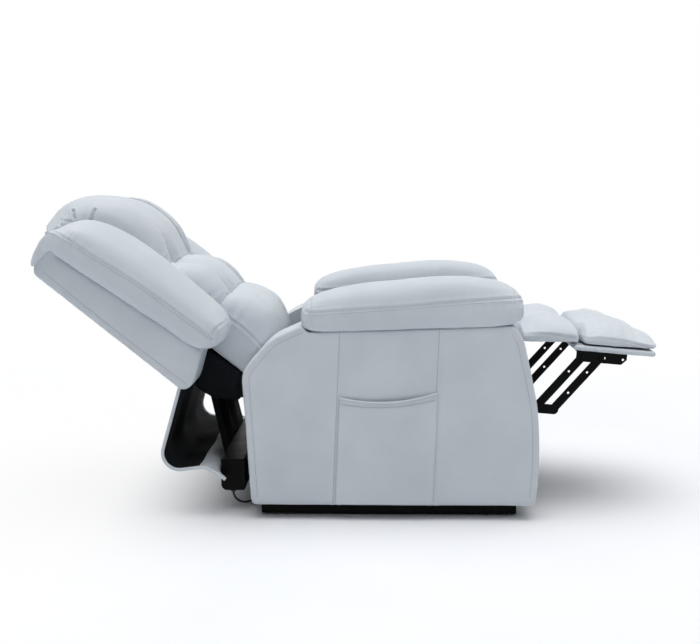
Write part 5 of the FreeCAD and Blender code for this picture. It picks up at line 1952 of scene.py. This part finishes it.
@dataclass
class RearCloth:
    """Skirt flap, inner curtain and the cloth behind the seat. Sizes in millimetres."""

    layout: Layout
    finish: Finishes
    flap_top: Pair = (22, -2.2)
    flap_path: tuple[Triple, ...] = ((-576, 122, 44), (-450, 138, 30), (-419.8, 120, 8))
    flap_folds: Folds = Folds(372, 7, 2.5, 60, 1)
    flap_follow: tuple[Pair, Pair] = ((-560, 300), (-470, 135))
    flap_thick: float = 2.4
    hem: Pair = (-415.8, 87)
    hem_rear: float = -462
    hem_turn: float = 70
    corner: Pair = (-394, 104)
    corner_lift: float = 3
    rail_half: float = 280
    free_width: float = 80
    rim: float = 9
    cloth_thick: float = 1.6
    cloths: tuple[BlackCloth, ...] = (
        BlackCloth("inner_curtain_cloth", "inner_curtain", (-60, -10.5), (-432, 232, 60), (-411, 144),
                   Folds(232, 7, 3, 40, 5), (1, 0), ((-450, 300), (-415, 160)), "rear_rail"),
        BlackCloth("seat_back_gusset", "seat_back_cloth", (-131.8, 170), (-205, 376, 60), (-119, 421),
                   Folds(236, 5, 3, 50, 8), (0, 1), ((-270, 400), (-125, 400)), "seat_frame"))

    def build(self) -> None:
        """Make the three cloths."""
        self.flap()
        for plan in self.cloths:
            self.black_cloth(plan)

    def hung_from(self, top: Pair) -> Triple:
        """X, Z and no radius of a place up the back and out of it."""
        start = self.layout.back(*top)
        return (start.x - self.layout.shift) / MM, start.z / MM, 0

    def hung(self, path: Callable[[float], Sequence[Triple]], half: float, across: int,
             name: str) -> tuple[Piece, Array]:
        """Hang a sheet.

        Args:
            path: its section at each y, as X, Z and radius of each corner.
            half: half its width.
            across: points along each row.
            name: the sheet's name.

        Returns:
            The sheet and its grid.
        """
        lines = []
        count = 0
        for i in range(across):
            y = -half + 2 * half * i / (across - 1)
            line = rounded(path(y), 6, closed=False)
            run = run_along(line)
            count = count or max(8, int(run[-1] / 7))
            even = np.linspace(0, run[-1], count)
            lines.append([self.layout.at(np.interp(d, run, line[:, 0]), y, np.interp(d, run, line[:, 1]))
                          for d in even])
        rows = np.array(lines).transpose(1, 0, 2)
        return grid_sheet(rows, name), rows

    def follow(self, obj: Piece, ends: tuple[Pair, Pair], slot: str) -> None:
        """Bake a cloth's place into its mesh and log it. The cloth is not made to turn with the back or the
        carriage.

        Args:
            obj: the cloth.
            ends: X and Z where it leaves the back and where it meets the carriage; made into places that
                nothing uses.
            slot: a material slot's name; not used.
        """
        start, end = (tuple(self.layout.at(x, 0, z)) for x, z in ends)
        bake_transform(obj)
        LOG.info("%s between back and carriage, %d faces", obj.name, len(obj.data.polygons))

    def stand_for(self, node: str) -> None:
        """Hide the frame's node that a hung cloth stands for."""
        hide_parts(node)

    def flap_section(self, y: float) -> list[Triple]:
        """Draw the skirt flap's section.

        Args:
            y: where it is cut. Beside the rear rail its corners hang free.

        Returns:
            X, Z and radius of each corner, from the shell to the hem.
        """
        fold = self.flap_folds.at(y)
        (x1, z1, r1), (x2, z2, r2), (x3, z3, r3) = self.flap_path
        free = float(rising(np.array(abs(y)), self.rail_half, self.free_width))
        free = free * free * (3 - 2 * free)
        low = np.array(self.hem) + free * (np.array(self.corner) - np.array(self.hem))
        return [self.hung_from(self.flap_top), (x1 + fold, z1 - fold / 2, r1), (x2, z2 - fold / 3, r2),
                (x3, z3 + self.corner_lift * free, r3), (*low, 0)]

    def flap(self) -> None:
        """Make the pale skirt flap with its dark lining and folded rim."""
        obj, rows = self.hung(self.flap_section, self.flap_folds.half, 121, "skirt_flap_cloth")
        self.line(obj, rows)
        self.follow(obj, self.flap_follow, "upholstery")
        self.stand_for("skirt_flap")
        rolls = [SEWING.roll(rows[:, column], f"skirt_flap_hem_{column}", self.rim / 2) for column in (0, -1)]
        hem = dress(joined(rolls, "skirt_flap_hem"), self.finish.leather)
        self.follow(hem, self.flap_follow, "upholstery")

    def line(self, obj: Piece, rows: Array) -> None:
        """Give the flap its thickness, an inner lining, and a cover that is folded over its rim.

        Args:
            obj: the flap.
            rows: its grid.
        """
        dress(obj, self.finish.leather, self.finish.lining)
        modify(obj, "SOLIDIFY", thickness=self.flap_thick * MM, offset=0, material_offset=1,
               material_offset_rim=0)
        edge = np.abs(rows[:, :, 1]).max() - self.rim * MM
        rear = self.layout.at(self.hem_rear, 0, 0).x
        top = rows[-1, :, 2].mean() + self.hem_turn * MM
        for face in obj.data.polygons:
            near_side = abs(face.center.y) > edge
            near_hem = face.center.x > rear and face.center.z < top
            if near_side or near_hem:
                face.material_index = 0
        obj.data.shade_smooth()

    def black_cloth(self, plan: BlackCloth) -> None:
        """Make one black cloth.

        Args:
            plan: its own sizes.
        """
        (x, z, radius), (across, up) = plan.bend, plan.way

        def section(y: float) -> list[Triple]:
            """X, Z and radius of each corner of the cloth's section at y."""
            fold = plan.folds.at(y)
            return [self.hung_from(plan.top), (x + across * fold, z + up * fold, radius), (*plan.end, 0)]

        obj, rows = self.hung(section, plan.folds.half, 97, plan.name)
        modify(obj, "SOLIDIFY", thickness=self.cloth_thick * MM, offset=0)
        dress(obj, self.finish.cloth)
        self.follow(obj, plan.follow, "black_cloth")
        self.stand_for(plan.node)


@dataclass
class Mechanism:
    """Steel frames, drives and hardware: finishes on the frame's nodes, and rivets. Sizes in millimetres."""

    layout: Layout
    finish: Finishes
    rivet_radius: float = 9.5
    outer_radius: float = 7.5
    rivet_height: float = 3.2
    inside: float = 229.6
    outside: float = 245.7
    low_pivots: tuple[Pair, Pair] = ((485.6, 270.7), (437.77, 274.72))
    bar_reach: Pair = (124.8, 140.6)

    def build(self) -> None:
        """Finish the rigid nodes and add the rivets that show."""
        by_slot = {"black_steel": self.finish.steel, "black_plastic": self.finish.plastic,
                   "bright_steel": self.finish.bright, "plywood": self.finish.board,
                   "webbing": self.finish.webbing}
        for part in self.layout.frame["record"]["subparts"]:
            material = by_slot.get(part["material_slot"])
            if material:
                node = self.layout.frame["nodes"][part["node"]]
                node.data.materials.clear()
                node.data.materials.append(material)
        self.rivets()

    def rivet(self, place: Pair, y: float, radius: float, name: str) -> Piece:
        """Make a domed rivet head.

        Args:
            place: X and Z of its middle.
            y: its Y, to the left or the right.
            radius: half its width.
            name: its name.

        Returns:
            The new object.
        """
        bpy.ops.object.select_all(action="DESELECT")
        bpy.ops.mesh.primitive_cylinder_add(vertices=20, radius=radius * MM, depth=self.rivet_height * MM,
                                            rotation=(math.pi / 2, 0, 0),
                                            location=self.layout.at(place[0], y, place[1]))
        obj = bpy.context.object
        obj.name = name
        bpy.ops.object.transform_apply(location=True, rotation=True, scale=True)
        modify(obj, "BEVEL", width=1.2 * MM, segments=2, angle_limit=math.radians(40))
        return obj

    def rivets(self) -> None:
        """Set heads at the footrest's pivots. The leg arms have them on the inside only."""
        high_pivots = [(x + self.bar_reach[0], z + self.bar_reach[1]) for x, z in self.low_pivots]
        inner, outer = (self.inside, self.rivet_radius), (self.outside, self.outer_radius)
        plan = (("leg_arms", self.low_pivots, [inner]), ("ottoman", high_pivots, [inner, outer]))
        for body, pivots, heads in plan:
            made = [self.rivet(place, side.value * y, radius, f"{body}_rivet")
                    for side in Side for place in pivots for y, radius in heads]
            obj = dress(joined(made, f"{body}_rivets"), self.finish.steel)
            obj.data.shade_flat()
            settle(obj, body, "black_steel")


@dataclass
class PowerLead:
    """The short lead from the rear rail to the power box. Sizes in millimetres."""

    layout: Layout
    finish: Finishes
    diameter: float = 6
    route: tuple[Triple, ...] = (
        (-386, -262, 44.7), (-385, -262, 36), (-379, -261, 24.5), (-368, -258.5, 15.5),
        (-353, -252, 11.5), (-338, -242, 13), (-326, -230.5, 20.5), (-317, -218, 33),
        (-310.5, -206.5, 48.5), (-305, -196, 66), (-300, -186.5, 83), (-293.5, -177.5, 98.5),
        (-284, -170, 110.5), (-272.5, -165.5, 117), (-262, -164.5, 118.6))

    def build(self) -> None:
        """Make the lead as a smooth curve."""
        data = bpy.data.curves.new("power_lead_cable", "CURVE")
        data.dimensions = "3D"
        data.bevel_depth = self.diameter / 2 * MM
        data.bevel_resolution = 3
        data.use_fill_caps = True
        spline = data.splines.new("NURBS")
        spline.points.add(len(self.route) - 1)
        for point, place in zip(spline.points, self.route):
            point.co = (*self.layout.at(*place), 1)
        spline.order_u = 3
        spline.use_endpoint_u = True
        spline.resolution_u = 8
        obj = in_scene("power_lead_cable", data)
        data.materials.append(self.finish.sheath)
        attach(obj, "carriage")
        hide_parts("power_lead")
        tuple(self.layout.at(*self.route[0]))
        LOG.info("%s on carriage", obj.name)


@dataclass
class Studio:
    """Floor, light and camera. Places in millimetres, the lamp's width and the floor's fades in metres."""

    layout: Layout
    camera_place: Triple = (0, -3500, 882)
    pitch: float = 6.537
    yaw: float = 1.181
    focal_px: float = 1213
    image_width_px: float = 700
    fade_far: Pair = (0.9, 3.2)
    fade_behind: Pair = (-0.22, -0.7)
    behind_share: float = 0.84
    dome_power: float = 5
    dome_top: float = 4.1
    dome_low: float = 0.05
    lamp_place: Triple = (-700, -3800, 2600)
    lamp_aim: Triple = (0, 0, 400)
    lamp_size: float = 2.6
    lamp_watts: float = 4

    def build(self) -> None:
        """Make the studio."""
        self.floor()
        self.world()
        self.light()
        self.camera()
        bpy.context.scene.view_settings.view_transform = "Standard"

    def camera(self) -> None:
        """Set the camera at the photograph's viewing angle."""
        data = bpy.data.cameras.new("camera")
        data.sensor_width = 36
        data.lens = self.focal_px / self.image_width_px * data.sensor_width
        obj = in_scene("camera", data)
        obj.location = self.layout.at(*self.camera_place)
        obj.rotation_euler = Euler((math.radians(90 - self.pitch), 0, math.radians(self.yaw)), "XYZ")
        data.clip_end = 60
        bpy.context.scene.camera = obj

    @staticmethod
    def bare_sight(tree: Tree) -> Socket:
        """Find the rays that show the plain background.

        Args:
            tree: the nodes of the floor or the world.

        Returns:
            1 for the camera's own rays, and for those off metal or through glass.
        """
        path = add(tree, "LightPath")
        share = path.outputs["Is Camera Ray"]
        for ray in ("Is Glossy Ray", "Is Transmission Ray"):
            share = add(tree, "Math", {0: share, 1: path.outputs[ray]}, operation="MAXIMUM").outputs[0]
        return share

    def floor(self) -> None:
        """Lay a wide pale floor that turns white for the camera far from the chair and behind it."""
        bpy.ops.object.select_all(action="DESELECT")
        bpy.ops.mesh.primitive_plane_add(size=40, location=(0, 0, 0))
        obj = bpy.context.object
        obj.name = "studio_floor"
        # Matt paint takes soft shadows near the chair and is lost in the white surround further off.
        material, tree, shader, place = blank("studio_floor_paint")
        tone = add(tree, "TexNoise", {"Vector": place, "Scale": 1.3, "Detail": 3})
        colour = add(tree, "ValToRGB", {"Fac": tone}, [(0.3, linear("E4E6EA")), (0.7, linear("E9EAED"))])
        plug(shader, {"Base Color": colour, "Roughness": 0.7, "Specular IOR Level": 0.2})
        away = add(tree, "VectorMath", {0: place}, operation="LENGTH")
        along = add(tree, "SeparateXYZ", {0: place})
        far = add(tree, "MapRange", {"Value": away.outputs["Value"], "From Min": self.fade_far[0],
                                     "From Max": self.fade_far[1]}, interpolation_type="SMOOTHSTEP")
        behind = add(tree, "MapRange", {"Value": along.outputs["X"], "From Min": self.fade_behind[0],
                                        "From Max": self.fade_behind[1], "To Max": self.behind_share},
                     interpolation_type="SMOOTHSTEP")
        fade = add(tree, "Math", {0: far, 1: behind}, operation="MAXIMUM")
        share = add(tree, "Math", {0: fade, 1: self.bare_sight(tree)}, operation="MULTIPLY")
        white = add(tree, "Emission", {"Color": (1, 1, 1, 1), "Strength": 1})
        mixed = add(tree, "MixShader", {0: share, 1: shader, 2: white})
        plug(tree.nodes["Material Output"], {"Surface": mixed})
        obj.data.materials.append(material)

    def world(self) -> None:
        """Set a white surround for the camera and soft light from above for the chair."""
        world = bpy.data.worlds.new("studio")
        bpy.context.scene.world = world
        world.use_nodes = True
        tree = world.node_tree
        tree.nodes.clear()
        way = add(tree, "SeparateXYZ", {0: add(tree, "TexCoord").outputs["Generated"]})
        up = add(tree, "Math", {0: way.outputs["Z"], 1: 0}, operation="MAXIMUM")
        steep = add(tree, "Math", {0: up, 1: self.dome_power}, operation="POWER")
        level = add(tree, "Math", {0: steep, 1: self.dome_top, 2: self.dome_low}, operation="MULTIPLY_ADD")
        soft = add(tree, "Background", {"Color": linear("FFFFFF"), "Strength": level})
        white = add(tree, "Background", {"Color": (1, 1, 1, 1), "Strength": 1})
        mixed = add(tree, "MixShader", {0: self.bare_sight(tree), 1: soft, 2: white})
        add(tree, "OutputWorld", {"Surface": mixed})

    def light(self) -> None:
        """Hang a soft box in front of the near side, under the dome's light."""
        data = bpy.data.lights.new("near_side", "AREA")
        data.shape = "SQUARE"
        data.size = self.lamp_size
        data.energy = self.lamp_watts
        obj = in_scene("near_side", data)
        obj.location = self.layout.at(*self.lamp_place)
        way = self.layout.at(*self.lamp_aim) - obj.location
        obj.rotation_euler = way.to_track_quat("-Z", "Y").to_euler()


def main() -> None:
    """Load the frame, and build the studio and each sub-assembly."""
    logging.basicConfig(level=logging.INFO, format="%(name)s: %(message)s")
    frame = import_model()
    layout = Layout.of(frame)
    finish = Finishes()
    Studio(layout).build()
    for group in (PowerLead, Mechanism, Arms, Seat, BackRest, Footrest, RearCloth):
        group(layout, finish).build()


if __name__ == "__main__":
    main()
